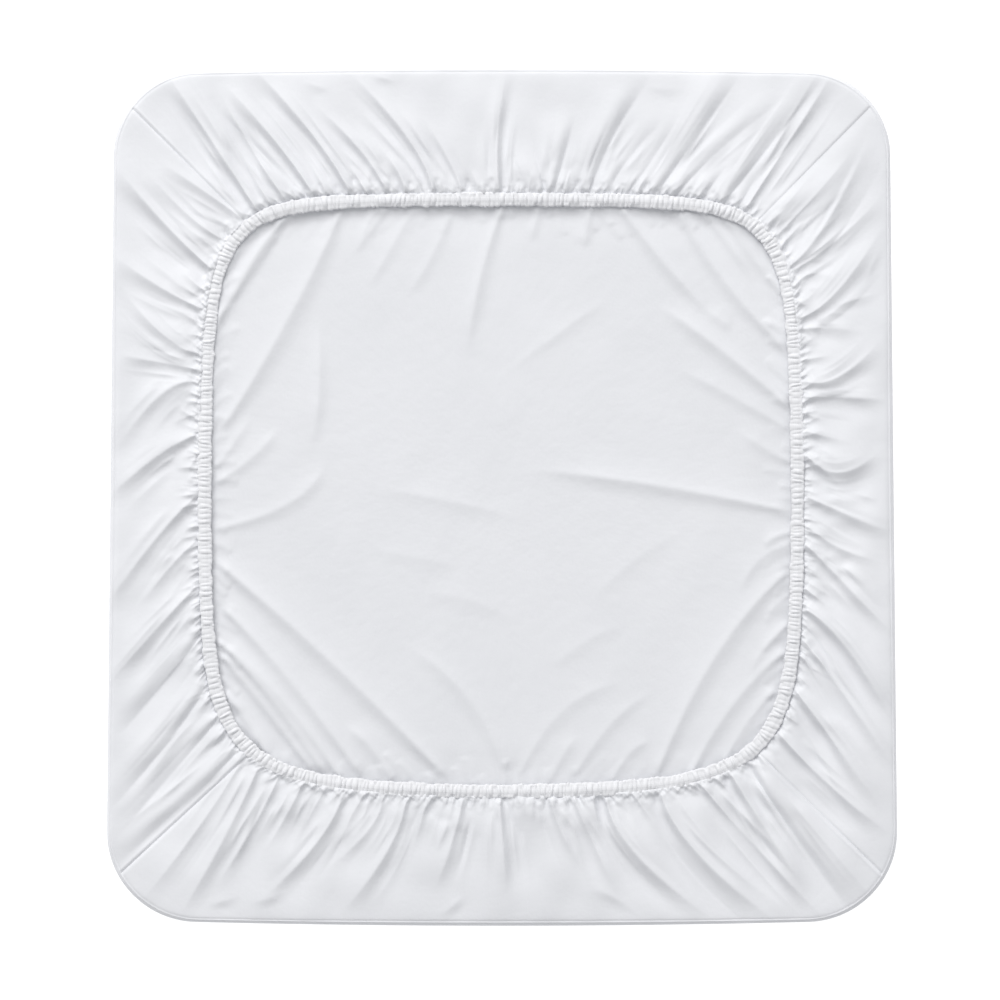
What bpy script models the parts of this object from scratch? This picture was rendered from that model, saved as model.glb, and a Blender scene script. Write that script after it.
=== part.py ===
"""An empty fitted sheet for a bed, lying face down with its mouth up.

The top panel lies flat on the floor. Four side panels are sewn to its edge, turn up over a soft
rolled rim and lie back over it, drawn in by an elastic band round the mouth. X runs across the
bed, +Y towards the head, Z up; the origin is on the floor under the middle of the sheet.
"""
import math

import bpy
import numpy as np
from mathutils import Vector
from mathutils.geometry import delaunay_2d_cdt

CM = 0.01
MM = 0.001

# The sheet as it lies, in metres
HALF_LENGTH = 0.984  # from the middle to the head or foot edge, beside its corners
HALF_WIDTH = 0.911  # from the middle to a side edge, half way along
WIDTH_TAPER = 0.010  # the half width grows by this much from the middle to the foot
EDGE_BOW = 0.015  # the head and foot edges bow out by this much at their middle
CORNER_RADIUS = 0.197
ARC_POINTS = 40  # of each corner

CLOTH = 0.0020  # thickness of the cloth with its lap of seam
SEAM_HALF_GAP = 0.0003  # from each side panel's end to the line of its corner seam
PANEL_INSET = 0.0012  # the skirt's rolled rim stands this far outside the top panel

# The mouth: centre line of the elastic band, in metres from the middle
MOUTH_HALF = {"left": 0.6965, "right": 0.692, "head": 0.699, "foot": 0.687}
MOUTH_BOW = {"side": 0.028, "head": 0.014, "foot": 0.047}  # each side is drawn in at its ends
MOUTH_ROUNDING = {"head": 7.0, "foot": 6.0}
BAND_WIDTH = 0.030
BAND_HEIGHT = 0.022  # of its middle above the floor
BAND_WAVE = 0.0015  # how far it rises and falls along its run
BAND_WAVES = 11
BAND_STATIONS = 160
BAND_SECTION = (  # millimetres from the centre line: outward, up
    (15.0, -1.8), (15.0, 1.8), (5.0, 4.8), (-9.0, 4.4), (-15.0, 0.0), (-3.0, -4.6),
)
BAND_SEAM_GAP = 0.0012  # from the band's outer edge to the side panels sewn to it

# The four corner seams, in metres: where each leaves the rim and where it meets the band
CORNER_SEAMS = {
    "head_left": ((-0.861, 0.910), (-0.614, 0.664)),
    "head_right": ((0.853, 0.910), (0.610, 0.664)),
    "foot_right": ((0.889, -0.882), (0.614, -0.612)),
    "foot_left": ((-0.889, -0.879), (-0.607, -0.619)),
}
SIDES = {  # each side panel, clockwise from above: its first and last corner seam
    "head": ("head_left", "head_right"),
    "right": ("head_right", "foot_right"),
    "foot": ("foot_right", "foot_left"),
    "left": ("foot_left", "head_left"),
}

# Section of a side panel from its seam at the rim to the band: the rim in millimetres, the rest
# as a share of the way to the band
RIM_SECTION = (  # in from the rim, height
    (2.2, 2.4), (0.0, 9.0), (2.5, 15.5), (10.0, 21.0),
)
SKIRT_SECTION = (  # share of the way to the band, height in millimetres
    (0.12, 27.5), (0.25, 31.5), (0.38, 34.0), (0.52, 35.0), (0.66, 35.5), (0.78, 34.5),
    (0.87, 32.5), (0.94, 28.5), (1.00, 22.8),
)
COLUMNS_BETWEEN_VALLEYS = (0.16, 0.50, 0.84)
LEAST_COLUMN_STEP = 0.014  # of a side's length
VALLEY_MOUTH = 0.22  # share of a valley's run over which it deepens from the band
VALLEY_FADE = 0.45  # share of its depth that a valley loses on its way out
VALLEY_END = 0.80  # share of its run from which a valley runs out
VALLEY_NARROW = 0.010  # half width of every valley at the band
VALLEY_SHARPNESS = 1.7  # exponent of a valley's section: lower is sharper at its bottom
CREST_SHARE = 0.30  # height of the crests beside a valley, as a share of its depth
CREST_AWAY, CREST_HALF = 2.1, 0.9  # where a crest stands and how wide it is, in half widths
FREE_FROM, FREE_OVER = 0.012, 0.012  # valleys begin above this height, over this much more

# The main valleys of each side panel. `at` is where a valley leaves the band and `to` where it
# ends, both along the side (X for head and foot, Y for left and right); `out` is how far its end
# is from the straight line of the band's outer edge; `bow` moves its middle along the side.
VALLEYS = {
    "head": (
        # at_cm, to_cm, out_cm, bow_cm, deep_mm, wide_mm
        (-57.5, -78.3, 25.8, 0.0, 15.0, 19.0),
        (-50.7, -65.7, 21.8, -0.9, 10.0, 17.0),
        (-44.3, -64.3, 22.7, 1.2, 14.0, 21.0),
        (-35.9, -57.9, 26.7, 1.9, 15.0, 22.0),
        (-27.4, -43.4, 18.5, 2.0, 10.0, 21.0),
        (-16.4, -35.6, 25.8, 3.0, 11.0, 22.0),
        (-10.1, -18.1, 15.7, 0.5, 6.0, 19.0),
        (-0.5, 2.3, 27.2, -1.4, 11.0, 21.0),
        (12.0, 15.5, 17.3, 0.2, 8.5, 18.0),
        (19.9, 32.4, 25.8, -1.5, 14.0, 22.0),
        (28.0, 40.8, 18.5, 0.3, 7.5, 19.0),
        (35.2, 53.5, 27.0, 0.0, 15.0, 24.0),
        (42.0, 64.7, 22.3, -2.0, 11.0, 21.0),
        (51.1, 72.9, 26.5, 0.0, 15.0, 22.0),
        (57.0, 77.4, 26.0, 0.3, 15.0, 22.0),
    ),
    "right": (
        (53.5, 82.3, 15.7, -4.2, 15.0, 26.0),
        (38.9, 37.3, 13.4, 0.5, 14.0, 21.0),
        (27.0, 30.0, 16.2, -2.0, 12.5, 21.0),
        (21.4, 20.6, 15.7, 0.0, 12.5, 21.0),
        (10.6, 7.5, 16.6, -2.8, 12.5, 22.0),
        (0.7, -8.9, 18.5, -0.4, 15.0, 22.0),
        (-4.7, -15.0, 16.2, -2.0, 11.0, 21.0),
        (-11.0, -31.4, 18.5, 0.0, 11.0, 22.0),
        (-26.3, -53.0, 19.0, 3.5, 15.0, 25.0),
        (-33.1, -61.9, 18.5, 0.7, 11.0, 22.0),
        (-45.0, -70.8, 14.8, 0.0, 15.0, 24.0),
        (-54.9, -77.6, 17.1, -1.9, 15.0, 22.0),
    ),
    "foot": (
        (57.7, 81.8, 24.6, -0.6, 15.0, 21.0),
        (52.8, 69.2, 21.3, -0.5, 14.0, 21.0),
        (45.7, 72.7, 27.2, -1.0, 11.0, 22.0),
        (36.6, 61.9, 27.9, -4.9, 14.0, 25.0),
        (23.9, 46.9, 27.2, -5.4, 14.0, 25.0),
        (16.4, 25.6, 21.6, -0.5, 8.5, 19.0),
        (2.8, 2.3, 20.9, 0.0, 11.0, 19.0),
        (-8.9, -14.1, 20.6, 0.7, 11.0, 21.0),
        (-21.8, -36.1, 26.3, 3.2, 14.0, 24.0),
        (-36.6, -54.9, 23.7, 3.5, 15.0, 25.0),
        (-46.0, -57.0, 14.4, 0.5, 11.0, 19.0),
        (-51.6, -65.2, 20.2, 1.2, 14.0, 21.0),
        (-57.0, -75.5, 26.0, 1.0, 15.0, 21.0),
    ),
    "left": (
        (-58.4, -83.2, 18.8, -0.5, 15.0, 21.0),
        (-50.9, -76.2, 18.5, 0.0, 14.0, 21.0),
        (-42.7, -69.9, 20.6, -1.6, 15.0, 24.0),
        (-31.0, -53.5, 19.0, -0.5, 14.0, 22.0),
        (-20.6, -43.6, 19.5, 0.0, 15.0, 24.0),
        (-10.0, -24.9, 12.0, 0.7, 10.0, 21.0),
        (-0.7, -25.0, 19.5, 1.4, 15.0, 26.0),
        (14.5, -0.7, 19.5, 1.4, 15.0, 25.0),
        (26.3, 11.0, 16.9, 4.7, 12.5, 22.0),
        (30.0, 31.9, 18.3, 0.0, 12.5, 24.0),
        (34.5, 48.5, 18.5, -3.5, 11.0, 22.0),
        (43.6, 54.6, 19.0, -1.2, 12.5, 22.0),
        (52.8, 75.0, 19.2, -1.4, 15.0, 24.0),
        (59.8, 76.0, 12.2, -2.0, 11.0, 19.0),
    ),
}
SIDE_ORIGIN = {"head": 0.713, "foot": -0.701, "left": -0.708, "right": 0.706}  # band's outer edge

# The soft creases of the top panel, seen through the mouth: start, middle and end of each in
# centimetres from the middle of the sheet, then its height and half width
CREASES = (
    # x0_cm, y0_cm, xm_cm, ym_cm, x1_cm, y1_cm, high_mm, wide_mm
    (-40.3, 64.7, -48.1, 46.4, -63.3, 22.5, 5.0, 32.0),
    (-51.4, 63.8, -58.6, 53.9, -65.4, 42.2, 4.0, 24.0),
    (-0.5, 66.6, -4.7, 50.7, -7.5, 34.2, 2.2, 26.0),
    (-12.2, 64.7, -16.4, 54.6, -22.7, 46.0, 1.6, 26.0),
    (-21.1, 66.1, -25.8, 57.0, -31.4, 48.3, 1.6, 24.0),
    (29.5, 66.1, 37.5, 55.3, 47.1, 44.6, 2.2, 26.0),
    (42.2, 65.7, 51.6, 52.1, 63.8, 38.0, 2.0, 24.0),
    (35.2, 46.0, 49.2, 35.6, 65.7, 24.6, 5.0, 32.0),
    (39.9, 30.5, 52.3, 23.5, 65.9, 16.4, 2.0, 26.0),
    (6.1, 7.0, 34.7, 3.0, 66.6, -2.3, 4.5, 32.0),
    (-32.8, 2.3, -12.2, -2.3, 5.0, -5.5, 1.8, 34.0),
    (-52.1, 17.1, -56.3, 10.1, -65.2, 4.2, 2.8, 26.0),
    (-43.1, 30.0, -47.4, 4.7, -65.2, -5.2, 2.4, 30.0),
    (-65.7, -16.4, -40.3, -36.1, -13.1, -63.3, 4.6, 34.0),
    (-64.7, -27.2, -49.7, -44.6, -34.2, -64.3, 3.0, 30.0),
    (-63.8, -36.8, -53.9, -48.8, -43.1, -63.3, 2.8, 26.0),
    (-23.5, -34.5, -9.4, -47.4, -0.5, -62.6, 1.8, 32.0),
    (65.2, -18.8, 47.6, -36.8, 34.7, -62.6, 4.6, 34.0),
    (64.7, -38.5, 53.0, -49.2, 43.1, -63.3, 3.0, 28.0),
    (30.0, -43.6, 15.9, -50.2, 6.1, -63.3, 1.6, 30.0),
    (36.0, -45.5, 26.5, -53.5, 18.5, -64.0, 2.0, 26.0),
)
CREASE_POINTS = 6  # along each crease
PANEL_EDGE_POINTS = 96
PANEL_GRID = 0.24  # spacing of the points between the creases
PANEL_MARGIN = 0.08  # these points stay this far inside the edge
PANEL_LEAST = 0.09  # and this far from every other point

CLOTH_WHITE = (0.84, 0.845, 0.87, 1.0)
BAND_WHITE = (0.90, 0.90, 0.91, 1.0)

DENSE = 4000  # points of a closed curve before it is divided
SIDE_SAMPLES = 601  # places along a side where a valley may cross a row
VALLEY_SAMPLES = 25  # along a valley, to find the nearest place on it
COLUMN_REACH, COLUMN_SAMPLES = 2.2, 120  # a valley's line carried on past its end, for the columns
CREASE_SAMPLES = 41  # along a crease of the top panel


def clear_scene():
    for thing in list(bpy.data.objects):
        bpy.data.objects.remove(thing, do_unlink=True)


def smooth(value):
    """0 below 0, 1 above 1, and an even S between."""
    clipped = np.clip(value, 0.0, 1.0)
    return clipped * clipped * (3.0 - 2.0 * clipped)


def rounded(angle, power):
    """Points of a rounded unit square at these angles; `power` may differ from point to point."""
    cosine, sine = np.cos(angle), np.sin(angle)
    across = np.sign(cosine) * np.abs(cosine) ** (2.0 / power)
    along = np.sign(sine) * np.abs(sine) ** (2.0 / power)
    return across, along


def clockwise_angles():
    return np.linspace(math.pi, -math.pi, DENSE, endpoint=False)


def even_points(curve, count):
    """A closed curve as this many points, evenly apart."""
    closed = np.vstack([curve, curve[:1]])
    length = np.concatenate([[0.0], np.cumsum(np.linalg.norm(np.diff(closed, axis=0), axis=1))])
    wanted = np.linspace(0.0, length[-1], count, endpoint=False)
    return np.column_stack([np.interp(wanted, length, closed[:, k]) for k in (0, 1)])


def rim_curve():
    """The outline of the lying sheet, clockwise from the left edge: arcs joined by bowed edges."""
    middle_x, middle_y = HALF_WIDTH - CORNER_RADIUS, HALF_LENGTH - CORNER_RADIUS
    arcs = [(-HALF_WIDTH, 0.0)]
    for corner, (side_x, side_y) in enumerate(((-1, 1), (1, 1), (1, -1), (-1, -1))):
        start = math.pi - corner * math.pi / 2
        for angle in np.linspace(start, start - math.pi / 2, ARC_POINTS):
            arcs.append((side_x * middle_x + CORNER_RADIUS * math.cos(angle),
                         side_y * middle_y + CORNER_RADIUS * math.sin(angle)))
    x, y = even_points(np.array(arcs), DENSE).T
    along = y / HALF_LENGTH
    across = x / HALF_WIDTH
    return np.column_stack([
        x - WIDTH_TAPER * across * along,
        y + EDGE_BOW * along * (1 - across**2),
    ])


def mouth_curve(outward=0.0):
    """The band's centre line, or a line beside it, clockwise from the left edge."""
    angles = clockwise_angles()
    power = np.where(np.sin(angles) >= 0, MOUTH_ROUNDING["head"], MOUTH_ROUNDING["foot"])
    across, along = rounded(angles, power)
    half_x = np.where(across < 0, MOUTH_HALF["left"], MOUTH_HALF["right"])
    half_y = np.where(along < 0, MOUTH_HALF["foot"], MOUTH_HALF["head"])
    bow_y = np.where(along < 0, MOUTH_BOW["foot"], MOUTH_BOW["head"])
    points = np.column_stack([
        across * (half_x - MOUTH_BOW["side"] * along**2),
        along * (half_y - bow_y * across**2),
    ])
    if outward:
        points = points + outward * outward_normals(points)
    return points


def outward_normals(points):
    """Unit normals of a clockwise closed curve, pointing away from its middle."""
    step = np.roll(points, -1, axis=0) - np.roll(points, 1, axis=0)
    normals = np.column_stack([-step[:, 1], step[:, 0]])
    return normals / np.linalg.norm(normals, axis=1, keepdims=True)


def stretch_between(curve, start, end, shares):
    """Points on a closed curve from the one nearest `start` on to the one nearest `end`."""
    first = int(np.argmin(np.linalg.norm(curve - np.array(start), axis=1)))
    last = int(np.argmin(np.linalg.norm(curve - np.array(end), axis=1)))
    if last <= first:
        last += len(curve)
    run = curve[np.arange(first, last + 1) % len(curve)]
    length = np.concatenate([[0.0], np.cumsum(np.linalg.norm(np.diff(run, axis=0), axis=1))])
    wanted = np.asarray(shares) * length[-1]
    return np.column_stack([np.interp(wanted, length, run[:, k]) for k in (0, 1)])


def path_of(start, middle, end, shares):
    """Points of the smooth arc that passes through three points; shares past 1 go straight on."""
    start, middle, end = (np.asarray(point, float) for point in (start, middle, end))
    bend = 2.0 * middle - 0.5 * (start + end)
    u = np.clip(np.asarray(shares, float), 0.0, 1.0)[:, None]
    points = (1 - u) ** 2 * start + 2 * u * (1 - u) * bend + u**2 * end
    past = np.clip(np.asarray(shares, float) - 1.0, 0.0, None)[:, None]
    return points + past * 2.0 * (end - bend)


class Valley:
    """One trough of a gathered side panel, from the band out towards the rim."""

    def __init__(self, side, row):
        at, to, out, bow, deep, wide = row
        along_x = side in ("head", "foot")
        outward = 1.0 if side in ("head", "right") else -1.0
        edge = mouth_curve(BAND_WIDTH / 2)
        level = 0 if along_x else 1
        facing = edge[:, 1 - level] * outward > 0
        near = np.where(facing, np.abs(edge[:, level] - at * CM), np.inf)
        self.start = edge[int(np.argmin(near))]
        far = SIDE_ORIGIN[side] + outward * out * CM
        self.end = np.array([to * CM, far] if along_x else [far, to * CM])
        shift = np.array([bow * CM, 0.0] if along_x else [0.0, bow * CM])
        self.middle = (self.start + self.end) / 2 + shift
        self.deep, self.wide = deep * MM, wide * MM

    def points(self, shares):
        return path_of(self.start, self.middle, self.end, shares)

    def lowers(self, x, y):
        """How far this valley draws the cloth down at each point, crests beside it negative."""
        shares = np.linspace(0.0, 1.0, VALLEY_SAMPLES)
        line = self.points(shares)
        offset = np.stack([x[..., None] - line[:, 0], y[..., None] - line[:, 1]], axis=-1)
        distance = np.linalg.norm(offset, axis=-1)
        nearest = np.argmin(distance, axis=-1)
        away = np.min(distance, axis=-1)
        u = shares[nearest]
        half = VALLEY_NARROW + (self.wide - VALLEY_NARROW) * u
        strength = smooth(u / VALLEY_MOUTH) * (1 - VALLEY_FADE * u)
        strength = strength * (1 - smooth((u - VALLEY_END) / (1 - VALLEY_END)))
        trough = np.exp(-((away / half) ** VALLEY_SHARPNESS))
        crest = np.exp(-(((away - CREST_AWAY * half) / (CREST_HALF * half)) ** 2))
        return self.deep * strength * (trough - CREST_SHARE * crest)


def skirt_rows(rim, band):
    """The rows of a side panel's middle surface before its valleys: (place, height, share)."""
    reach = np.linalg.norm(band - rim, axis=-1, keepdims=True)
    inward = (band - rim) / reach
    rows = [(rim + inward * inset * MM, height * MM, 0.0) for inset, height in RIM_SECTION]
    rows += [(rim + (band - rim) * share, height * MM, share) for share, height in SKIRT_SECTION]
    return rows


def column_shares(side, rim_ends, band_ends, valleys):
    """For each row of a side, where its columns stand, so that they follow the valleys."""
    dense = np.linspace(0.0, 1.0, SIDE_SAMPLES)
    rim = stretch_between(rim_curve(), *rim_ends, dense)
    band = stretch_between(mouth_curve(BAND_WIDTH / 2 + BAND_SEAM_GAP), *band_ends, dense)
    reach = np.linspace(0.0, COLUMN_REACH, COLUMN_SAMPLES)
    runs = [valley.points(reach) for valley in valleys]
    shares_by_row = []
    for place, _, _ in skirt_rows(rim, band):
        crossings = []
        for run in runs:
            gaps = np.linalg.norm(place[:, None, :] - run[None, :, :], axis=-1)
            crossings.append(dense[int(np.argmin(gaps.min(axis=1)))])
        shares_by_row.append(spread_out(sorted(crossings)))
    return [fill_between(knots) for knots in shares_by_row]


def spread_out(crossings):
    """The crossings between the two seams, none nearer to the next than a least step."""
    step = LEAST_COLUMN_STEP * (len(COLUMNS_BETWEEN_VALLEYS) + 1) / 2
    knots = np.array([0.0, *crossings, 1.0])
    for k in range(1, len(knots) - 1):
        knots[k] = max(knots[k], knots[k - 1] + step)
    for k in range(len(knots) - 2, 0, -1):
        knots[k] = min(knots[k], knots[k + 1] - step)
    return knots


def fill_between(knots):
    filled = [knots[0]]
    for low, high in zip(knots[:-1], knots[1:]):
        filled += [low + (high - low) * share for share in COLUMNS_BETWEEN_VALLEYS]
        filled.append(high)
    return np.array(filled)


def skirt_surface(side, valleys_of_all):
    """The middle surface of one side panel as an array of rows, columns and coordinates."""
    first, last = SIDES[side]
    rim_ends = CORNER_SEAMS[first][0], CORNER_SEAMS[last][0]
    band_ends = CORNER_SEAMS[first][1], CORNER_SEAMS[last][1]
    columns = column_shares(side, rim_ends, band_ends, valleys_of_all[side])
    surface = []
    for row, shares in enumerate(columns):
        rim = stretch_between(rim_curve(), *rim_ends, shares)
        band = stretch_between(mouth_curve(BAND_WIDTH / 2 + BAND_SEAM_GAP), *band_ends, shares)
        place, height, share = skirt_rows(rim, band)[row]
        drop = np.zeros(len(shares))
        for valleys in valleys_of_all.values():
            for valley in valleys:
                drop += valley.lowers(place[:, 0], place[:, 1])
        free = smooth((height - FREE_FROM) / FREE_OVER)
        surface.append(np.column_stack([place, height - drop * free]))
    return np.array(surface)


def surface_normals(surface):
    """Unit normals of a grid of points, on its upper side."""
    along = np.gradient(surface, axis=1)
    inward = np.gradient(surface, axis=0)
    normals = np.cross(inward, along)
    normals /= np.linalg.norm(normals, axis=-1, keepdims=True)
    return normals if normals[len(normals) // 2, :, 2].mean() > 0 else -normals


def seam_shift(surface, column, towards):
    """How far a panel's end column moves back from the line of its corner seam."""
    rim, band = surface[1, column, :2], surface[-1, column, :2]
    line = (band - rim) / np.linalg.norm(band - rim)
    across = np.array([line[1], -line[0]])
    inner = surface[len(surface) // 2, towards, :2] - surface[len(surface) // 2, column, :2]
    across *= np.sign(np.dot(across, inner))
    return np.array([across[0], across[1], 0.0]) * SEAM_HALF_GAP


def shell_object(name, top, below, material):
    """A closed sheet between two grids of points."""
    rows, columns = top.shape[:2]
    points = np.concatenate([top.reshape(-1, 3), below.reshape(-1, 3)])
    count = rows * columns

    def index(row, column, layer):
        return layer * count + row * columns + column

    faces = []
    for row in range(rows - 1):
        for column in range(columns - 1):
            square = [(row, column), (row, column + 1), (row + 1, column + 1), (row + 1, column)]
            for corners in split_square(top, square):
                faces.append([index(r, c, 0) for r, c in corners])
                faces.append([index(r, c, 1) for r, c in reversed(corners)])
    edge = [(0, c) for c in range(columns)] + [(r, columns - 1) for r in range(1, rows)]
    edge += [(rows - 1, c) for c in range(columns - 2, -1, -1)]
    edge += [(r, 0) for r in range(rows - 2, 0, -1)]
    for (r0, c0), (r1, c1) in zip(edge, edge[1:] + edge[:1]):
        faces.append([index(r0, c0, 0), index(r0, c0, 1), index(r1, c1, 1), index(r1, c1, 0)])
    return mesh_object(name, points, faces, material)


def split_square(top, square):
    """A square of the grid as two triangles, along its shorter diagonal on both faces of the cloth."""
    a, b, c, d = square
    if np.linalg.norm(top[a] - top[c]) <= np.linalg.norm(top[b] - top[d]):
        return [(a, b, c), (a, c, d)]
    return [(a, b, d), (b, c, d)]


def mesh_object(name, points, faces, material):
    """A mesh object with its faces turned outwards."""
    mesh = bpy.data.meshes.new(name)
    mesh.from_pydata([tuple(point) for point in points], [], faces)
    mesh.validate()
    mesh.update()
    volume = sum(
        Vector(mesh.vertices[t.vertices[0]].co).dot(
            mesh.vertices[t.vertices[1]].co.cross(mesh.vertices[t.vertices[2]].co))
        for t in triangles_of(mesh)
    )
    if volume < 0:
        mesh.flip_normals()
    mesh.materials.append(material)
    mesh.shade_smooth()
    thing = bpy.data.objects.new(name, mesh)
    bpy.context.scene.collection.objects.link(thing)
    return thing


def triangles_of(mesh):
    mesh.calc_loop_triangles()
    return mesh.loop_triangles


def cloth_material(name, colour, roughness):
    material = bpy.data.materials.new(name)
    material.use_nodes = True
    shader = material.node_tree.nodes["Principled BSDF"]
    shader.inputs["Base Color"].default_value = colour
    shader.inputs["Roughness"].default_value = roughness
    shader.inputs["Metallic"].default_value = 0.0
    return material


def make_skirts(material):
    """The four side panels, with one shared slope on both sides of each corner seam."""
    valleys = {side: [Valley(side, row) for row in rows] for side, rows in VALLEYS.items()}
    surfaces = {side: skirt_surface(side, valleys) for side in SIDES}
    normals = {side: surface_normals(surface) for side, surface in surfaces.items()}
    order = list(SIDES)
    for this, after in zip(order, order[1:] + order[:1]):
        shared = normals[this][:, -1] + normals[after][:, 0]
        shared /= np.linalg.norm(shared, axis=-1, keepdims=True)
        normals[this][:, -1] = normals[after][:, 0] = shared
    for side, surface in surfaces.items():
        surface[:, 0] += seam_shift(surface, 0, 1)
        surface[:, -1] += seam_shift(surface, -1, -2)
        below = surface - CLOTH * normals[side]
        below[0, :, 2] = surface[0, :, 2]
        below[-1, :, :2] = surface[-1, :, :2]
        shell_object("skirt_" + side, surface, below, material)


def crease_height(x, y):
    """How far the top panel's creases lift it off the floor at each point."""
    lifted = np.zeros(np.shape(x))
    shares = np.linspace(0.0, 1.0, CREASE_SAMPLES)
    for x0, y0, xm, ym, x1, y1, high, wide in CREASES:
        line = path_of((x0 * CM, y0 * CM), (xm * CM, ym * CM), (x1 * CM, y1 * CM), shares)
        distance = np.hypot(np.asarray(x)[..., None] - line[:, 0], np.asarray(y)[..., None] - line[:, 1])
        u = shares[np.argmin(distance, axis=-1)]
        across = np.clip(np.min(distance, axis=-1) / (wide * MM), 0.0, 1.0)
        swell = np.sqrt(np.clip(4.0 * u * (1.0 - u), 0.0, 1.0))
        lifted = np.maximum(lifted, high * MM * swell * (1.0 - across**2) ** 2)
    return lifted


def make_panel(material):
    """The top panel: flat on the floor but for its creases, which run as crest and foot lines."""
    outline = rim_curve()
    edge = even_points(outline - PANEL_INSET * outward_normals(outline), PANEL_EDGE_POINTS)
    points = [Vector(point) for point in edge[::-1]]
    lines = []
    shares = np.linspace(0.0, 1.0, CREASE_POINTS)
    for x0, y0, xm, ym, x1, y1, _, wide in CREASES:
        line = path_of((x0 * CM, y0 * CM), (xm * CM, ym * CM), (x1 * CM, y1 * CM), shares)
        step = np.gradient(line, axis=0)
        beside = np.column_stack([-step[:, 1], step[:, 0]]) / np.linalg.norm(step, axis=1)[:, None]
        for reach in (-1.0, 0.0, 1.0):
            first = len(points)
            points += [Vector(point) for point in line + beside * reach * wide * MM]
            lines += [(k, k + 1) for k in range(first, len(points) - 1)]
    steps = int(HALF_LENGTH / PANEL_GRID)
    for i in range(-steps, steps + 1):
        for j in range(-steps, steps + 1):
            spot = Vector((i * PANEL_GRID, j * PANEL_GRID))
            inside = (abs(spot.x) < HALF_WIDTH - PANEL_MARGIN
                      and abs(spot.y) < HALF_LENGTH - PANEL_MARGIN)
            if inside and min((spot - point).length for point in points) > PANEL_LEAST:
                points.append(spot)
    flat, _, faces, _, _, _ = delaunay_2d_cdt(points, lines, [list(range(PANEL_EDGE_POINTS))], 1, 1e-5)
    x = np.array([point.x for point in flat])
    y = np.array([point.y for point in flat])
    lower = np.column_stack([x, y, crease_height(x, y)])
    return sheet_from(lower, faces, material)


def sheet_from(lower, faces, material):
    """The panel as a closed sheet: its lower face as given, its upper face a cloth higher."""
    count = len(lower)
    upper = lower + np.array([0.0, 0.0, CLOTH])
    sides = {}
    for face in faces:
        for a, b in zip(face, face[1:] + face[:1]):
            sides[(a, b)] = sides.get((b, a)) is None
            if not sides[(a, b)]:
                sides[(b, a)] = False
    walls = [[a, b, b + count, a + count] for (a, b), open_edge in sides.items() if open_edge]
    whole = [list(reversed(face)) for face in faces]
    whole += [[k + count for k in face] for face in faces]
    return mesh_object("top_panel", np.vstack([lower, upper]), whole + walls, material)


def make_band(material):
    """The elastic band: its section carried round the mouth."""
    centre = even_points(mouth_curve(), BAND_STATIONS)
    normals = outward_normals(centre)
    turn = np.linspace(0.0, 2.0 * math.pi, BAND_STATIONS, endpoint=False)
    rise = BAND_WAVE * np.sin(BAND_WAVES * turn) * np.cos(2.0 * turn)
    rings = []
    for outward, up in BAND_SECTION:
        place = centre + normals * outward * MM
        rings.append(np.column_stack([place, BAND_HEIGHT + rise + up * MM]))
    points = np.stack(rings, axis=1)
    stations, corners = points.shape[:2]
    faces = []
    for s in range(stations):
        after = (s + 1) % stations
        for c in range(corners):
            d = (c + 1) % corners
            faces.append([s * corners + c, s * corners + d, after * corners + d, after * corners + c])
    return mesh_object("elastic_band", points.reshape(-1, 3), faces, material)


def main():
    clear_scene()
    cloth = cloth_material("white_cloth", CLOTH_WHITE, 0.75)
    elastic = cloth_material("white_elastic", BAND_WHITE, 0.65)
    make_panel(cloth)
    make_skirts(cloth)
    make_band(elastic)


main()
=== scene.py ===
"""The looks of an empty fitted sheet that lies face down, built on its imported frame.

Each piece of cloth is one thin surface on the folds of its solid. Lengths are in metres, X runs
across the bed, +Y towards the head and Z up. Tables are in centimetres where their columns say so.
"""
import logging
import math
from dataclasses import dataclass, replace
from enum import Enum
from typing import ClassVar

import bpy
import numpy as np
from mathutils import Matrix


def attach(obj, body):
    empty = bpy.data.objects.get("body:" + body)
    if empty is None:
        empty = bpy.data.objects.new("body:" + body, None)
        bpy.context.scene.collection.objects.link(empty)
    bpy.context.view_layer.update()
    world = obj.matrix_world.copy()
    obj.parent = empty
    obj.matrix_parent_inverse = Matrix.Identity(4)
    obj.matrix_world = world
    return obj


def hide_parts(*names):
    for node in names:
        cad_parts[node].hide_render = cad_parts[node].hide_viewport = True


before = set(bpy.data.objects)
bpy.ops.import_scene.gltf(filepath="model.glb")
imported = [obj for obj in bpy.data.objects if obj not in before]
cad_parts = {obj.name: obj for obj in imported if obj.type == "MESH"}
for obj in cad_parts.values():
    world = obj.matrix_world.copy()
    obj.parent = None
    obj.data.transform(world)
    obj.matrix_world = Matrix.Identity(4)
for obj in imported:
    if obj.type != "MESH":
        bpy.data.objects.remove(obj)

Array = np.ndarray
Point = tuple[float, float]
Colour = tuple[float, float, float]
Tree = bpy.types.NodeTree
Socket = bpy.types.NodeSocket
Thing = bpy.types.Object
Material = bpy.types.Material

LOG = logging.getLogger("fitted_sheet")

CM = 0.01
MM = 0.001

WINDOW_SIDE = np.array([-0.29, 0.957])  # the light comes over this side of the sheet
CLOTH_SLOT = "white_cloth"
ELASTIC_SLOT = "white_elastic"
BAND_RUN = "band_run"  # the UV map that runs along the elastic band


def smooth(value: Array) -> Array:
    """0 below 0, 1 above 1, and an even S between."""
    clipped = np.clip(value, 0.0, 1.0)
    return clipped * clipped * (3.0 - 2.0 * clipped)


def bounded(signed: Array, reach: float) -> Array:
    """1 near a line, and evenly down to 0 where its fold's reach ends."""
    return 1.0 - smooth(2.0 * np.abs(signed) / reach - 1.0)


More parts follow.
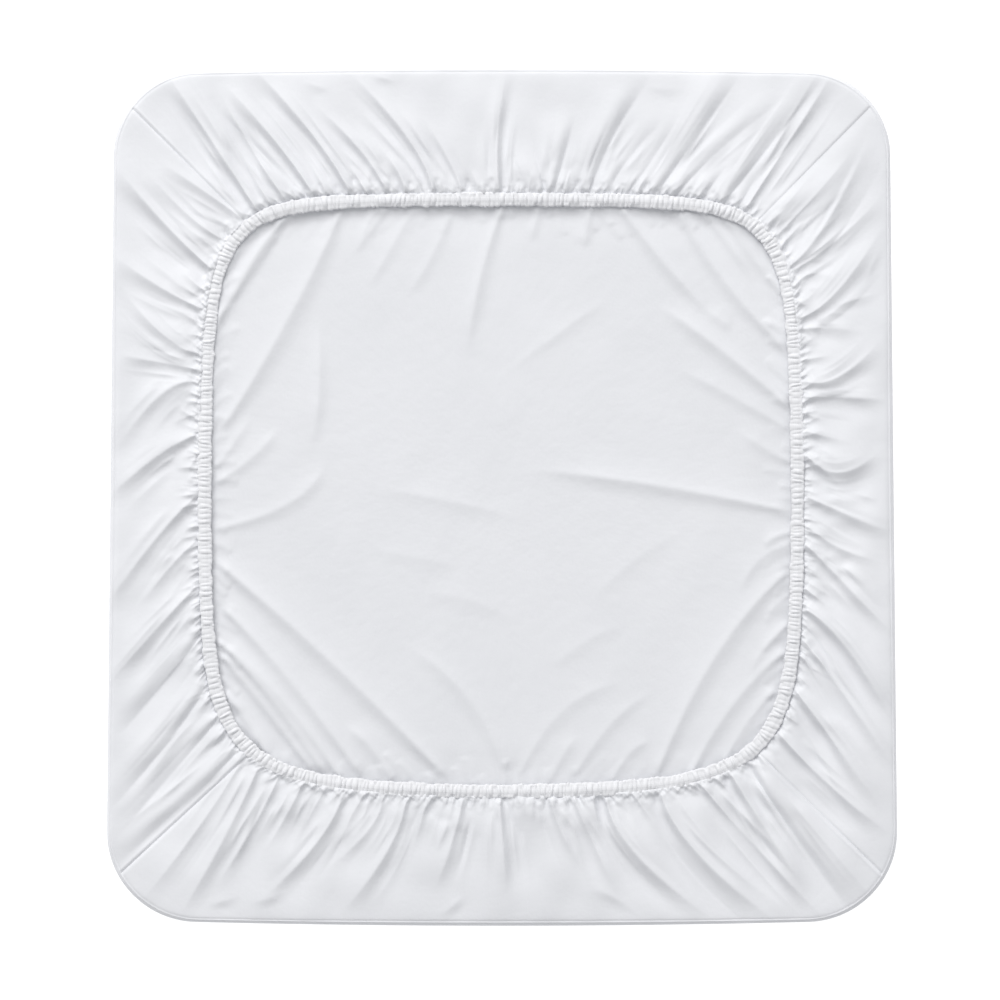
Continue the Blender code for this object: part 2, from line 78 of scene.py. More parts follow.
def path_of(start: Point, middle: Point, end: Point, shares: Array) -> Array:
    """Points of the smooth arc that passes through three points.

    Args:
        start: Where the arc starts.
        middle: The point half way along it.
        end: Where it ends.
        shares: How far along the arc each wanted point is, from 0 to 1.

    Returns:
        One row of X and Y for each share.
    """
    first, centre, last = (np.asarray(point, float) for point in (start, middle, end))
    bend = 2.0 * centre - 0.5 * (first + last)
    u = np.asarray(shares, float)[:, None]
    return (1 - u) ** 2 * first + 2 * u * (1 - u) * bend + u**2 * last


def spline(knots: Array, places: Array) -> Array:
    """A smooth curve through knots that lie along the first axis.

    Args:
        knots: The values at 0, 1, 2 and so on.
        places: Where along the knots the curve is read.

    Returns:
        The curve's values, with `places` along the first axis.
    """
    padded = np.concatenate([2 * knots[:1] - knots[1:2], knots, 2 * knots[-1:] - knots[-2:-1]])
    cell = np.clip(places.astype(int), 0, len(knots) - 2)
    t = (places - cell).reshape(-1, *([1] * (knots.ndim - 1)))
    a, b, c, d = (padded[cell + k] for k in range(4))
    return 0.5 * (2 * b + (c - a) * t + (2 * a - 5 * b + 4 * c - d) * t**2
                  + (3 * b - a - 3 * c + d) * t**3)


def outward_normals(points: Array) -> Array:
    """Unit normals of a clockwise closed curve, pointing away from its middle.

    Args:
        points: The curve, one row of X and Y for each point.

    Returns:
        One normal for each point.
    """
    step = np.roll(points, -1, axis=0) - np.roll(points, 1, axis=0)
    normals = np.column_stack([-step[:, 1], step[:, 0]])
    return normals / np.linalg.norm(normals, axis=1, keepdims=True)


def run_lengths(points: Array) -> Array:
    """The distance along an open line of points, from its first to each."""
    steps = np.linalg.norm(np.diff(points, axis=0), axis=1)
    return np.concatenate([[0.0], np.cumsum(steps)])


def even_points(curve: Array, count: int) -> Array:
    """A closed curve as points that lie evenly apart.

    Args:
        curve: The curve, one row of X and Y for each point.
        count: How many points are wanted.

    Returns:
        That many points, from the curve's first on.
    """
    closed = np.vstack([curve, curve[:1]])
    length = run_lengths(closed)
    wanted = np.linspace(0.0, length[-1], count, endpoint=False)
    return np.column_stack([np.interp(wanted, length, closed[:, k]) for k in (0, 1)])


def stretch_between(curve: Array, start: Point, end: Point, shares: Array) -> Array:
    """Points on a closed curve between two places on it.

    Args:
        curve: The closed curve.
        start: The stretch starts at the curve's point nearest to this.
        end: It ends at the point nearest to this.
        shares: How far along the stretch each wanted point is, from 0 to 1.

    Returns:
        One row of X and Y for each share.
    """
    first = int(np.argmin(np.linalg.norm(curve - np.array(start), axis=1)))
    last = int(np.argmin(np.linalg.norm(curve - np.array(end), axis=1)))
    if last <= first:
        last += len(curve)
    run = curve[np.arange(first, last + 1) % len(curve)]
    length = run_lengths(run)
    return np.column_stack([np.interp(shares * length[-1], length, run[:, k]) for k in (0, 1)])


class Side(Enum):
    """The four side panels, clockwise from above."""

    HEAD = "head"
    RIGHT = "right"
    FOOT = "foot"
    LEFT = "left"

    @property
    def level(self) -> int:
        """The axis that the side runs along: 0 for X, 1 for Y."""
        return 0 if self in (Side.HEAD, Side.FOOT) else 1

    @property
    def outward(self) -> float:
        """The sign of the direction from the middle of the sheet to this side."""
        return 1.0 if self in (Side.HEAD, Side.RIGHT) else -1.0


def point_beside(curve: Array, side: Side, at: float) -> Array:
    """The point of a closed curve that lies at a place along one of its sides.

    Args:
        curve: The curve, one row of X and Y for each point.
        side: Which of its sides.
        at: The place along the side, in X for head and foot and in Y for the others.

    Returns:
        The point's X and Y.
    """
    facing = curve[:, 1 - side.level] * side.outward > 0
    near = np.where(facing, np.abs(curve[:, side.level] - at), np.inf)
    return curve[int(np.argmin(near))]


def three_points(row: tuple[float, ...]) -> tuple[Point, ...]:
    """Three points in metres, from the X and Y of each in turn in centimetres."""
    return tuple((x * CM, y * CM) for x, y in zip(row[::2], row[1::2]))


class Break(Enum):
    """Where a fold has its sharp edge."""

    RIDGE = "ridge"  # the cloth breaks over an edge on the window's side and runs out softly
    VALLEY = "valley"  # it falls away softly from the window and is pinched at the bottom
    EVEN = "even"  # a soft trough, alike on both sides


@dataclass(frozen=True)
class Rim:
    """The outline of the lying sheet, where the side panels turn up."""

    half_length: float = 0.991
    half_width: float = 0.918
    shift: float = 0.0035  # the whole outline lies this much towards the head
    width_taper: float = 0.010  # the half width grows by this much from the middle to the foot
    edge_bow: float = 0.015  # the head and foot edges bow out by this much at their middle
    head_radius: float = 0.190
    foot_radius: float = 0.207
    arc_points: int = 40
    dense: int = 6000

    def curve(self) -> Array:
        """Works out the outline.

        Returns:
            Its points, clockwise from the left edge.
        """
        arcs = [(-self.half_width, 0.0)]
        for corner, (side_x, side_y) in enumerate(((-1, 1), (1, 1), (1, -1), (-1, -1))):
            radius = self.head_radius if side_y > 0 else self.foot_radius
            start = math.pi - corner * math.pi / 2
            for angle in np.linspace(start, start - math.pi / 2, self.arc_points):
                arcs.append((side_x * (self.half_width - radius) + radius * math.cos(angle),
                             side_y * (self.half_length - radius) + radius * math.sin(angle)))
        x, y = even_points(np.array(arcs), self.dense).T
        along, across = y / self.half_length, x / self.half_width
        return np.column_stack([
            x - self.width_taper * across * along,
            y + self.edge_bow * along * (1 - across**2) + self.shift,
        ])


@dataclass(frozen=True)
class Mouth:
    """The centre line of the elastic band round the mouth."""

    half_left: float = 0.6965
    half_right: float = 0.692
    half_head: float = 0.699
    half_foot: float = 0.687
    side_bow: float = 0.028  # each side is drawn in by this much at its ends
    head_bow: float = 0.014
    foot_bow: float = 0.047
    head_rounding: float = 7.0
    foot_rounding: float = 6.0
    dense: int = 6000

    def curve(self, outward: float = 0.0) -> Array:
        """Works out a line that runs beside the centre line.

        Args:
            outward: How far outside the centre line it runs, negative for inside.

        Returns:
            Its points, clockwise from the left edge.
        """
        angles = np.linspace(math.pi, -math.pi, self.dense, endpoint=False)
        cosine, sine = np.cos(angles), np.sin(angles)
        power = np.where(sine >= 0, self.head_rounding, self.foot_rounding)
        across = np.sign(cosine) * np.abs(cosine) ** (2.0 / power)
        along = np.sign(sine) * np.abs(sine) ** (2.0 / power)
        half_x = np.where(across < 0, self.half_left, self.half_right)
        half_y = np.where(along < 0, self.half_foot, self.half_head)
        bow_y = np.where(along < 0, self.foot_bow, self.head_bow)
        points = np.column_stack([
            across * (half_x - self.side_bow * along**2),
            along * (half_y - bow_y * across**2),
        ])
        return points + outward * outward_normals(points) if outward else points


RIM = Rim().curve()
MOUTH = Mouth()
BAND_HALF = 0.015
BAND_EDGE = MOUTH.curve(BAND_HALF)
TUCKED_EDGE = MOUTH.curve(BAND_HALF - 0.005)  # the side panels end 5 mm in from the band's edge
BAND_INNER = MOUTH.curve(-BAND_HALF)

# The four corner seams: where each leaves the rim and where it meets the band
CORNER_SEAMS = {
    "head_left": ((-0.861, 0.910), (-0.614, 0.664)),
    "head_right": ((0.853, 0.910), (0.610, 0.664)),
    "foot_right": ((0.889, -0.882), (0.614, -0.612)),
    "foot_left": ((-0.889, -0.879), (-0.607, -0.619)),
}
SEAMS_OF = {
    Side.HEAD: ("head_left", "head_right"),
    Side.RIGHT: ("head_right", "foot_right"),
    Side.FOOT: ("foot_right", "foot_left"),
    Side.LEFT: ("foot_left", "head_left"),
}
SIDE_SEEDS = {Side.HEAD: 11, Side.RIGHT: 12, Side.FOOT: 13, Side.LEFT: 14}
# Where the tables measure `out` from: about the band's outer edge at the middle of each side
SIDE_ORIGIN = {Side.HEAD: 0.713, Side.FOOT: -0.701, Side.LEFT: -0.708, Side.RIGHT: 0.706}


@dataclass(frozen=True)
class Arc:
    """A smooth arc through three points, which can be measured against."""

    FACING: ClassVar[float] = 0.72  # arcs that lie more across the light than this aren't sharpened
    LEAST_FACING: ClassVar[float] = 0.1
    SHARPEST: ClassVar[float] = 1.8

    start: Point
    middle: Point
    end: Point

    @property
    def drawn(self) -> float:
        """How much sharper the arc is drawn where it runs along the light, which shows it less.

        Returns:
            The factor, from 1 to `SHARPEST`.
        """
        run = np.subtract(self.end, self.start)
        across = abs(float(np.array([run[1], -run[0]]) @ WINDOW_SIDE)) / float(np.linalg.norm(run))
        return float(np.clip(self.FACING / max(across, self.LEAST_FACING), 1.0, self.SHARPEST))

    def measure(self, x: Array, y: Array, reach: float, steps: int = 14) -> tuple[Array, ...]:
        """Measures the points near the arc against it.

        Args:
            x: The points' X, of any shape.
            y: Their Y, of the same shape.
            reach: How far from the arc points still count as near.
            steps: How many straight pieces stand for the arc.

        Returns:
            Which points are near, and for those their distance from the arc, positive away from
            the window, and their share of the way along it.
        """
        line = path_of(self.start, self.middle, self.end, np.linspace(0.0, 1.0, steps + 1))
        low, high = line.min(axis=0) - reach, line.max(axis=0) + reach
        near = (x > low[0]) & (x < high[0]) & (y > low[1]) & (y < high[1])
        spot = np.column_stack([x[near], y[near]])
        best = np.full(len(spot), np.inf)
        signed, share = np.zeros(len(spot)), np.zeros(len(spot))
        chord = line[-1] - line[0]
        turn = -1.0 if np.array([chord[1], -chord[0]]) @ WINDOW_SIDE > 0 else 1.0
        for k, (a, b) in enumerate(zip(line[:-1], line[1:])):
            run = b - a
            along = np.clip((spot - a) @ run / (run @ run), 0.0, 1.0)
            off = spot - a - along[:, None] * run
            gap = np.hypot(off[:, 0], off[:, 1])
            beside = turn * (off[:, 0] * run[1] - off[:, 1] * run[0])
            closer = gap < best
            best = np.where(closer, gap, best)
            signed = np.where(closer, gap * np.where(beside < 0, -1.0, 1.0), signed)
            share = np.where(closer, (k + along) / steps, share)
        return near, signed, share


class Facet:
    """The section of a fold: a steep face between a crest and a trough, and gentle rises beside it.

    The face lies from -1 to 1. Its crest is at -1, on the window's side, and its trough at 1.
    """

    reach: float = 14.0
    count: int = 2801
    before: float = 2.2  # the rise to the crest fades over this many half widths
    beyond: float = 3.2  # and the one past the trough
    lying: float = 2.1  # the rise to the crest of a crease that lies on a floor
    crisp: float = 0.16  # how round a sharp edge is
    soft: float = 0.70  # and a soft one
    margin: int = 400  # how many places on either side an edge's rounding draws on

    def __init__(self, broken: Break, one_sided: bool = False) -> None:
        """Works out the section.

        Args:
            broken: Which edge of the face is sharp.
            one_sided: Whether the cloth comes down to a floor on both sides of the crest.
        """
        self.places = np.linspace(-self.reach, self.reach, self.count)
        gentle = np.where(self.places < 0.0, self.before, self.beyond)
        tail = np.exp(-np.maximum(np.abs(self.places) - 1.0, 0.0) / gentle)
        raw = np.clip(self.places, -1.0, 1.0) * tail
        if one_sided:
            slope = 1.0 - 2.0 * np.exp(np.minimum(self.places + 1.0, 0.0) / self.lying)
            raw = np.where(self.places < -1.0, slope, np.minimum(self.places, 1.0))
        crest = self.crisp if broken is not Break.VALLEY else self.soft
        trough = self.crisp if broken is Break.VALLEY else self.soft
        share = smooth((self.places + 1.0) / 2.0)
        self.depths = self.rounded(raw, crest) * (1 - share) + self.rounded(raw, trough) * share

    def rounded(self, raw: Array, width: float) -> Array:
        """Rounds the edges of the section.

        Args:
            raw: The section with sharp edges.
            width: Over how many half widths they are rounded.

        Returns:
            The rounded section.
        """
        step = self.places[1] - self.places[0]
        kernel = np.exp(-0.5 * (np.arange(-self.margin, self.margin + 1) * step / width) ** 2)
        padded = np.pad(raw, self.margin, mode="edge")
        return np.convolve(padded, kernel / kernel.sum(), mode="valid")

    def at(self, t: Array) -> Array:
        """How far the cloth is sunk at t half widths from the face's middle."""
        return np.interp(t, self.places, self.depths)


FACETS = {broken: Facet(broken) for broken in Break}
FLOOR_FACET = Facet(Break.RIDGE, one_sided=True)


@dataclass(frozen=True)
class Fold(Arc):
    """One fold of a side panel: a steep face along an arc, which widens on its way."""

    REACH: ClassVar[float] = 10.0  # the fold is felt this many half widths away
    WIDENS: ClassVar[float] = 0.6  # it widens with this power of the way along it, so early on
    DEEPER: ClassVar[float] = 0.40  # by this share it is deeper at its start than its slope says

    steep: float  # slope of the face
    narrow: float  # half width of the face where it starts
    wide: float  # half width where it ends
    broken: Break = Break.RIDGE
    opening: float = 0.05  # share of its run over which it deepens
    fade: float = 0.30  # share of its depth that it loses on its way
    ending: float = 0.50  # share of its run from which it runs out
    steps: int = 14

    def sinks(self, x: Array, y: Array) -> Array:
        """How far the fold sinks the cloth at each point.

        Args:
            x: The points' X, of any shape.
            y: Their Y, of the same shape.

        Returns:
            The depth at each point, negative where the fold lifts the cloth.
        """
        depth = np.zeros(x.shape)
        reach = self.REACH * max(self.wide, self.narrow)
        near, signed, share = self.measure(x, y, reach, self.steps)
        half = self.narrow + (self.wide - self.narrow) * share**self.WIDENS
        strength = smooth(share / self.opening)
        strength *= 1.0 + self.DEEPER - (self.DEEPER + self.fade) * share
        strength *= bounded(signed, reach)
        strength *= 1.0 - smooth((share - self.ending) / (1.0 - self.ending))
        depth[near] = self.steep * half * strength * FACETS[self.broken].at(signed / half)
        return depth


@dataclass(frozen=True)
class Petal:
    """A little rounded cup of cloth between two gathers, against the foot side of the band."""

    ROUND: ClassVar[float] = 0.7  # how full its dome is

    at: float  # its middle along the side
    half: float
    out: float  # how far it stands out from the band
    high: float

    def sinks(self, x: Array, y: Array) -> Array:
        """How far the cup sinks the cloth.

        Args:
            x: The points' X, of any shape.
            y: Their Y, of the same shape.

        Returns:
            The depth at each point, zero or less because the cup lifts the cloth.
        """
        beside = y - float(point_beside(BAND_EDGE, Side.FOOT, self.at)[1])
        inside = 1.0 - ((x - self.at) / self.half) ** 2 - (np.minimum(beside, 0.0) / self.out) ** 2
        return -self.high * np.maximum(inside, 0.0) ** self.ROUND


@dataclass(frozen=True)
class Pocket:
    """A little hollow between two gathers, a finger's width outside the head side of the band."""

    at: float  # its middle along the side
    off: float  # how far from the band its middle is
    half: float = 0.0060
    beyond: float = 0.0060  # its reach away from the band, where it is steep
    towards: float = 0.0150  # and towards it
    deep: float = 0.0036

    def sinks(self, x: Array, y: Array) -> Array:
        """How far the hollow sinks the cloth.

        Args:
            x: The points' X, of any shape.
            y: Their Y, of the same shape.

        Returns:
            The depth at each point.
        """
        beside = y - float(point_beside(BAND_EDGE, Side.HEAD, self.at)[1]) - self.off
        reach = np.where(beside > 0, self.beyond, self.towards)
        return self.deep * np.exp(-((x - self.at) / self.half) ** 2 - (beside / reach) ** 2)


@dataclass(frozen=True)
class Ripple:
    """Slow unevenness of a cloth: a few crossing waves."""

    high: float
    waves: tuple[tuple[float, float, float], ...]  # waves per metre along X and Y, and phase

    def lift(self, x: Array, y: Array) -> Array:
        """How far the waves lift the cloth at each point."""
        total = sum(np.sin(2 * math.pi * (a * x + b * y) + phase) for a, b, phase in self.waves)
        return self.high * total / len(self.waves)


@dataclass(frozen=True)
class Run:
    """How the main folds of one length run."""

    past: float  # how far they run, as a share of the way to the end in their row
    fade: float  # share of their depth that they lose on the way
    ending: float  # share of their run from which they run out


SHORT_RUN = Run(past=1.17, fade=0.30, ending=0.30)
LONG_RUN = Run(past=1.13, fade=0.10, ending=0.58)
SHORT = 0.17  # folds shorter than this have the short run
FULL = 0.16  # and from this length on they open to their full width
SLOPE = (0.17, 0.22)  # a fold's slope without its strength, and what each point of strength adds
NARROW_MM = (2.4, 0.6)  # the same for its half width at the band
WIDE_MM = (2.5, 3.0)  # and for what a full-length fold gains on the half width that follows
LEAST_WIDE_MM = 4.0


def by_strength(base: float, each: float, strength: float) -> float:
    """A base and what each point of a fold's strength adds to it."""
    return base + each * strength


def side_fold(side: Side, row: tuple[float, ...]) -> Fold:
    """A main fold of a side panel, from one row of its table.

    Args:
        side: The panel that the fold runs in.
        row: Where it leaves the band, where it ends, how far out that is, how far its middle is
            shifted along the side, all in centimetres, and its strength from 1 to 3.

    Returns:
        The fold.
    """
    at, to, out, bow, strength = row
    least, most = VALLEYS[side]
    broken = Break.VALLEY if least < at < most else Break.RIDGE
    level, outward = side.level, side.outward
    start = point_beside(BAND_EDGE, side, at * CM)
    far = SIDE_ORIGIN[side] + outward * out * CM
    end = np.array([to * CM, far] if level == 0 else [far, to * CM])
    shift = np.array([bow * CM, 0.0] if level == 0 else [0.0, bow * CM])
    middle = (start + end) / 2 + shift
    long = float(np.linalg.norm(end - start))
    run = SHORT_RUN if long < SHORT else LONG_RUN
    end = start + (end - start) * run.past
    gain = by_strength(*WIDE_MM, strength) * min(1.0, long / FULL)
    crisp = 0.80 if broken is Break.RIDGE and side is Side.HEAD else 1.05
    softer = 1.0 if side is Side.HEAD else 0.9
    spots = tuple(start), tuple(middle), tuple(end)
    return Fold(
        *spots, steep=softer * by_strength(*SLOPE, strength) * Arc(*spots).drawn,
        narrow=by_strength(*NARROW_MM, strength) * MM, wide=(LEAST_WIDE_MM + gain) * crisp * MM,
        broken=broken, fade=run.fade, ending=run.ending,
    )


# The main folds of each side panel. `at` is where a fold leaves the band and `to` where it ends,
# along the side; `out` is how far its end is from the band; `bow` shifts its middle.
HEAD_FOLDS = (
    # at_cm, to_cm, out_cm, bow_cm, strength
    (-57.5, -78.3, 25.8, 0.0, 3.0), (-54.4, -63.1, 10.3, 0.0, 1.5), (-50.7, -65.7, 21.8, -0.9, 2.0),
    (-48.3, -50.9, 3.8, 0.0, 2.0), (-44.3, -64.3, 22.7, 1.2, 3.0), (-41.3, -46.7, 8.2, 0.3, 2.0),
    (-35.9, -57.9, 26.7, 1.9, 3.0), (-32.1, -36.3, 5.9, 0.3, 2.0), (-27.4, -43.4, 18.5, 2.0, 2.0),
    (-23.2, -31.4, 12.0, 1.5, 2.0), (-16.4, -35.6, 25.8, 3.0, 2.3), (-10.1, -18.1, 15.7, 0.5, 1.2),
    (-0.5, 2.3, 27.2, -1.4, 2.2), (6.3, 5.9, 13.1, 0.3, 1.0), (12.0, 15.5, 17.3, 0.2, 1.8),
    (15.9, 18.5, 4.2, 0.0, 2.0), (19.9, 32.4, 25.8, -1.5, 3.0), (24.6, 36.6, 16.9, -1.8, 1.8),
    (28.8, 40.8, 19.2, 0.5, 1.2), (32.1, 34.2, 3.8, 0.0, 2.0), (35.2, 53.5, 27.0, 0.0, 3.0),
    (40.1, 64.7, 22.3, -2.0, 2.2), (46.4, 52.8, 8.4, -0.3, 2.5), (51.1, 72.9, 26.5, 0.0, 3.0),
    (54.6, 59.8, 6.3, 0.0, 2.0), (57.0, 77.4, 26.0, 0.3, 3.4), (58.9, 62.8, 1.0, 0.0, 1.5),
)
LEFT_FOLDS = (
    # at_cm, to_cm, out_cm, bow_cm, strength
    (64.7, 76.4, 8.2, 0.0, 2.5), (62.4, 65.7, -1.9, 0.0, 1.5), (59.8, 75.0, 12.2, -2.0, 2.0),
    (57.0, 62.6, 3.5, 0.0, 1.5), (52.8, 75.0, 19.2, -1.4, 3.0), (48.1, 53.9, 5.2, -1.2, 2.0),
    (45.7, 47.1, 0.7, 0.0, 1.5), (43.6, 54.6, 19.0, -1.2, 2.5), (40.3, 43.4, 6.8, 0.0, 1.8),
    (37.3, 37.8, 3.3, 0.0, 2.5), (33.3, 48.5, 18.5, -3.5, 2.0), (31.7, 32.1, 2.3, 0.0, 1.5),
    (29.3, 31.9, 18.3, 0.0, 2.5), (26.3, 11.0, 16.9, 4.7, 2.5), (22.5, 22.0, 3.8, 0.0, 1.5),
    (19.0, 16.4, 6.1, 0.4, 2.5), (14.5, -0.7, 19.5, 1.4, 3.0), (10.0, 8.7, 4.7, 0.0, 1.5),
    (7.0, 4.9, 2.6, 0.0, 2.0), (3.5, -0.7, 5.4, 0.4, 2.5), (-0.7, -25.0, 19.5, 1.4, 3.0),
    (-6.1, -8.7, 3.8, 0.0, 2.0), (-10.0, -24.9, 12.0, 0.7, 2.3), (-14.8, -15.0, 2.6, 0.0, 1.5),
    (-17.6, -21.6, 4.0, 0.5, 2.5), (-20.6, -43.6, 19.5, 0.0, 3.0), (-27.4, -31.0, 4.0, 0.0, 2.0),
    (-31.0, -53.5, 19.0, -0.5, 2.7), (-35.2, -37.3, 1.4, 0.0, 2.0), (-39.6, -42.4, 1.4, 0.0, 2.3),
    (-42.7, -69.9, 20.6, -1.6, 3.0), (-47.4, -52.8, 2.1, 0.0, 2.3), (-50.9, -76.2, 18.5, 0.0, 2.8),
    (-55.1, -59.8, 0.2, 0.0, 2.5), (-58.4, -83.2, 18.8, -0.5, 3.0), (-60.5, -67.3, -0.7, 0.0, 1.5),
)
FOOT_FOLDS = (
    # at_cm, to_cm, out_cm, bow_cm, strength
    (-59.8, -82.8, 23.7, 1.5, 1.8), (-56.3, -73.2, 26.5, 1.0, 3.0), (-51.6, -65.2, 20.2, 1.2, 3.0),
    (-46.0, -53.9, 12.4, 0.5, 2.7), (-40.8, -47.8, 12.0, 0.0, 1.5), (-36.6, -54.9, 23.7, 3.5, 3.0),
    (-31.7, -35.9, 7.0, 0.2, 2.0), (-27.7, -40.6, 16.9, 3.7, 1.8), (-21.8, -36.1, 26.3, 3.2, 2.7),
    (-16.9, -20.4, 14.8, 0.0, 1.2), (-8.9, -14.1, 20.6, 0.7, 2.2), (2.8, 2.3, 20.9, 0.0, 2.3),
    (10.3, 17.6, 16.2, -1.0, 1.3), (16.4, 25.6, 21.6, -0.5, 1.8), (21.8, 24.4, 10.6, 0.0, 2.0),
    (23.9, 46.9, 27.2, -5.4, 2.7), (30.0, 36.1, 8.4, 0.0, 1.2), (36.6, 61.9, 27.9, -4.9, 2.7),
    (45.7, 72.7, 27.2, -1.0, 2.5), (49.9, 53.9, 1.2, 0.0, 1.5), (52.8, 69.2, 21.3, -0.5, 3.0),
    (57.7, 81.8, 24.6, -0.6, 3.0), (59.8, 64.0, -1.6, 0.0, 1.5),
)
RIGHT_FOLDS = (
    # at_cm, to_cm, out_cm, bow_cm, strength
    (-54.9, -77.6, 17.1, -1.9, 3.0), (-51.1, -54.2, -0.9, 0.0, 2.5), (-45.0, -70.8, 14.8, 0.0, 3.0),
    (-41.5, -46.0, 1.9, 0.0, 2.0), (-36.8, -46.0, 3.8, 0.3, 2.0), (-33.1, -61.9, 18.5, 0.7, 2.2),
    (-26.3, -53.0, 19.0, 3.5, 3.0), (-21.3, -26.7, 5.6, 0.0, 2.5), (-16.2, -18.8, 3.5, 0.0, 2.5),
    (-11.0, -31.4, 18.5, 0.0, 2.2), (-4.7, -15.0, 16.2, -2.0, 2.2), (0.7, -8.9, 18.5, -0.4, 3.0),
    (4.9, 2.1, 8.0, 0.0, 2.3), (10.6, 11.0, 18.0, -5.5, 2.8), (15.7, 12.2, 10.6, -0.3, 2.3),
    (19.0, 17.6, 4.7, 0.0, 2.3), (23.2, 21.6, 18.5, 0.0, 2.8), (27.0, 36.0, 18.0, -4.0, 2.8),
    (31.7, 32.6, 6.8, 0.0, 2.0), (35.6, 37.3, 1.9, 0.0, 2.0), (38.9, 37.3, 13.4, 0.5, 3.0),
    (44.6, 44.8, 1.6, 0.0, 2.0), (48.5, 49.2, 6.6, 2.8, 3.0), (53.5, 82.3, 15.7, -4.2, 3.0),
    (56.3, 57.2, -2.1, 0.0, 2.5), (58.2, 65.9, 2.3, 0.0, 2.5), (63.1, 72.5, 3.3, 0.0, 2.5),
    (52.5, 69.0, 18.0, -2.0, 2.4), (41.5, 62.0, 18.5, -4.0, 2.6), (60.5, 79.0, 11.0, -1.0, 2.2),
)


MAIN_FOLDS = {Side.HEAD: HEAD_FOLDS, Side.RIGHT: RIGHT_FOLDS, Side.FOOT: FOOT_FOLDS,
              Side.LEFT: LEFT_FOLDS}

# The stretch of each side, in centimetres, where folds are pinched at the bottom; the right side
# has none, and elsewhere they break over an edge on the window's side
VALLEYS = {Side.HEAD: (5.0, 56.0), Side.RIGHT: (0.0, 0.0), Side.FOOT: (57.0, 99.0),
           Side.LEFT: (-99.0, -25.0)}


# What may run beside a main fold: which side of it, how far off at least, its share of the main
# fold's width, and its share of that fold's slope
COMPANIONS = (
    (-1.0, 0.012, 0.70, 0.55), (1.0, 0.013, 0.70, 0.52), (-1.0, 0.008, 0.36, 0.30),
    (1.0, 0.022, 0.42, 0.36), (-1.0, 0.027, 0.56, 0.38),
)
ALL_COMPANIONS = 0.22  # a main fold of this length has all of them
UNEVEN = (0.7, 1.3)  # least and most of what makes one companion unlike the next


def companions(main: Fold, random: np.random.Generator) -> list[Fold]:
    """Weaker folds that run beside a main one, as where a handful of cloth is gathered.

    Args:
        main: The fold that they keep beside.
        random: Where their unevenness comes from.

    Returns:
        Few or none for a short fold, and up to five for a long one.
    """
    chord = np.subtract(main.end, main.start)
    long = float(np.linalg.norm(chord))
    beside = np.array([chord[1], -chord[0]]) / long
    found = []
    for turn, least, share_wide, share_steep in COMPANIONS:
        if random.random() > long / ALL_COMPANIONS:
            continue
        first, last = random.uniform(0.0, 0.40), random.uniform(0.60, 1.0)
        shares = np.array([first, (first + last) / 2, last])
        off = turn * (least + random.uniform(0.0, 0.008) + random.uniform(0.0, 0.028) * shares)
        line = path_of(main.start, main.middle, main.end, shares) + off[:, None] * beside
        wide = main.wide * share_wide * random.uniform(*UNEVEN)
        found.append(replace(
            main, start=tuple(line[0]), middle=tuple(line[1]), end=tuple(line[2]),
            steep=main.steep * share_steep * random.uniform(*UNEVEN),
            narrow=0.55 * wide, wide=wide, broken=list(Break)[int(random.integers(len(Break)))],
            opening=0.3, ending=0.35,
        ))
    return found


def side_folds() -> list[Fold]:
    """Makes the folds that may run from one side panel into the next.

    Returns:
        The main folds of the four panels, each followed by what runs beside it.
    """
    random = np.random.default_rng(5)
    found = []
    for side, rows in MAIN_FOLDS.items():
        for row in rows:
            main = side_fold(side, row)
            found += [main, *companions(main, random)]
    return found


SIDE_FOLDS = side_folds()

# Hollows near the rim that no gather leads to
RIM_HOLLOWS = (
    # x0_cm, y0_cm, xm_cm, ym_cm, x1_cm, y1_cm, deep_mm, wide_mm
    (-8.0, -92.9, -11.0, -96.2, -15.0, -98.7, 3.0, 12.0),
    (19.9, -91.9, 26.0, -94.5, 32.4, -99.0, 3.4, 13.0),
    (-69.6, -96.1, -65.0, -95.2, -60.3, -93.8, 2.5, 11.0),
    (-59.1, -95.4, -54.0, -94.4, -49.7, -92.6, 2.5, 11.0),
    (-47.4, 96.8, -43.0, 95.4, -39.4, 94.5, 2.0, 11.0),
    (-31.0, 98.0, -27.5, 97.4, -24.0, 96.1, 2.0, 10.0),
    (32.4, 95.7, 38.0, 94.8, 44.0, 94.5, 1.5, 12.0),
    (81.6, 0.7, 85.0, -0.5, 88.6, -1.6, 3.0, 11.0),
    (76.4, 43.1, 82.5, 45.5, 89.1, 46.9, 3.5, 12.0),
    (76.4, 55.8, 81.0, 59.5, 85.8, 64.3, 3.0, 12.0),
    (85.4, 49.9, 87.5, 54.5, 89.6, 59.3, 2.5, 10.0),
)


def rim_hollow(row: tuple[float, ...]) -> Fold:
    """A hollow near the rim.

    Args:
        row: Its row in the table.

    Returns:
        The hollow, as a fold that is broad and short.
    """
    deep, wide = row[6:]
    return Fold(*three_points(row[:6]), 1.15 * deep / wide, 0.6 * wide * MM, 0.8 * wide * MM,
                Break.RIDGE, opening=0.5, fade=0.0, ending=0.45)


SHARED_FOLDS = SIDE_FOLDS + [rim_hollow(row) for row in RIM_HOLLOWS]

# Little cups of gathered cloth against the foot side of the band
FOOT_PETALS = (
    # at_cm, half_cm, out_cm, high_mm
    (-37.6, 1.4, 2.2, 2.4), (-30.2, 1.5, 2.6, 2.6), (-20.5, 1.5, 3.0, 3.0), (-15.8, 1.3, 2.6, 2.6),
    (-7.6, 1.3, 3.0, 3.2), (-3.2, 1.7, 3.4, 3.4), (3.8, 1.4, 2.6, 2.8), (8.9, 1.5, 3.0, 3.2),
    (14.8, 1.6, 3.2, 3.4), (22.6, 1.5, 3.4, 3.2), (27.4, 1.5, 3.0, 2.8), (34.6, 1.8, 3.4, 3.4),
    (45.0, 1.6, 2.8, 3.0), (51.6, 1.4, 2.6, 2.6),
)

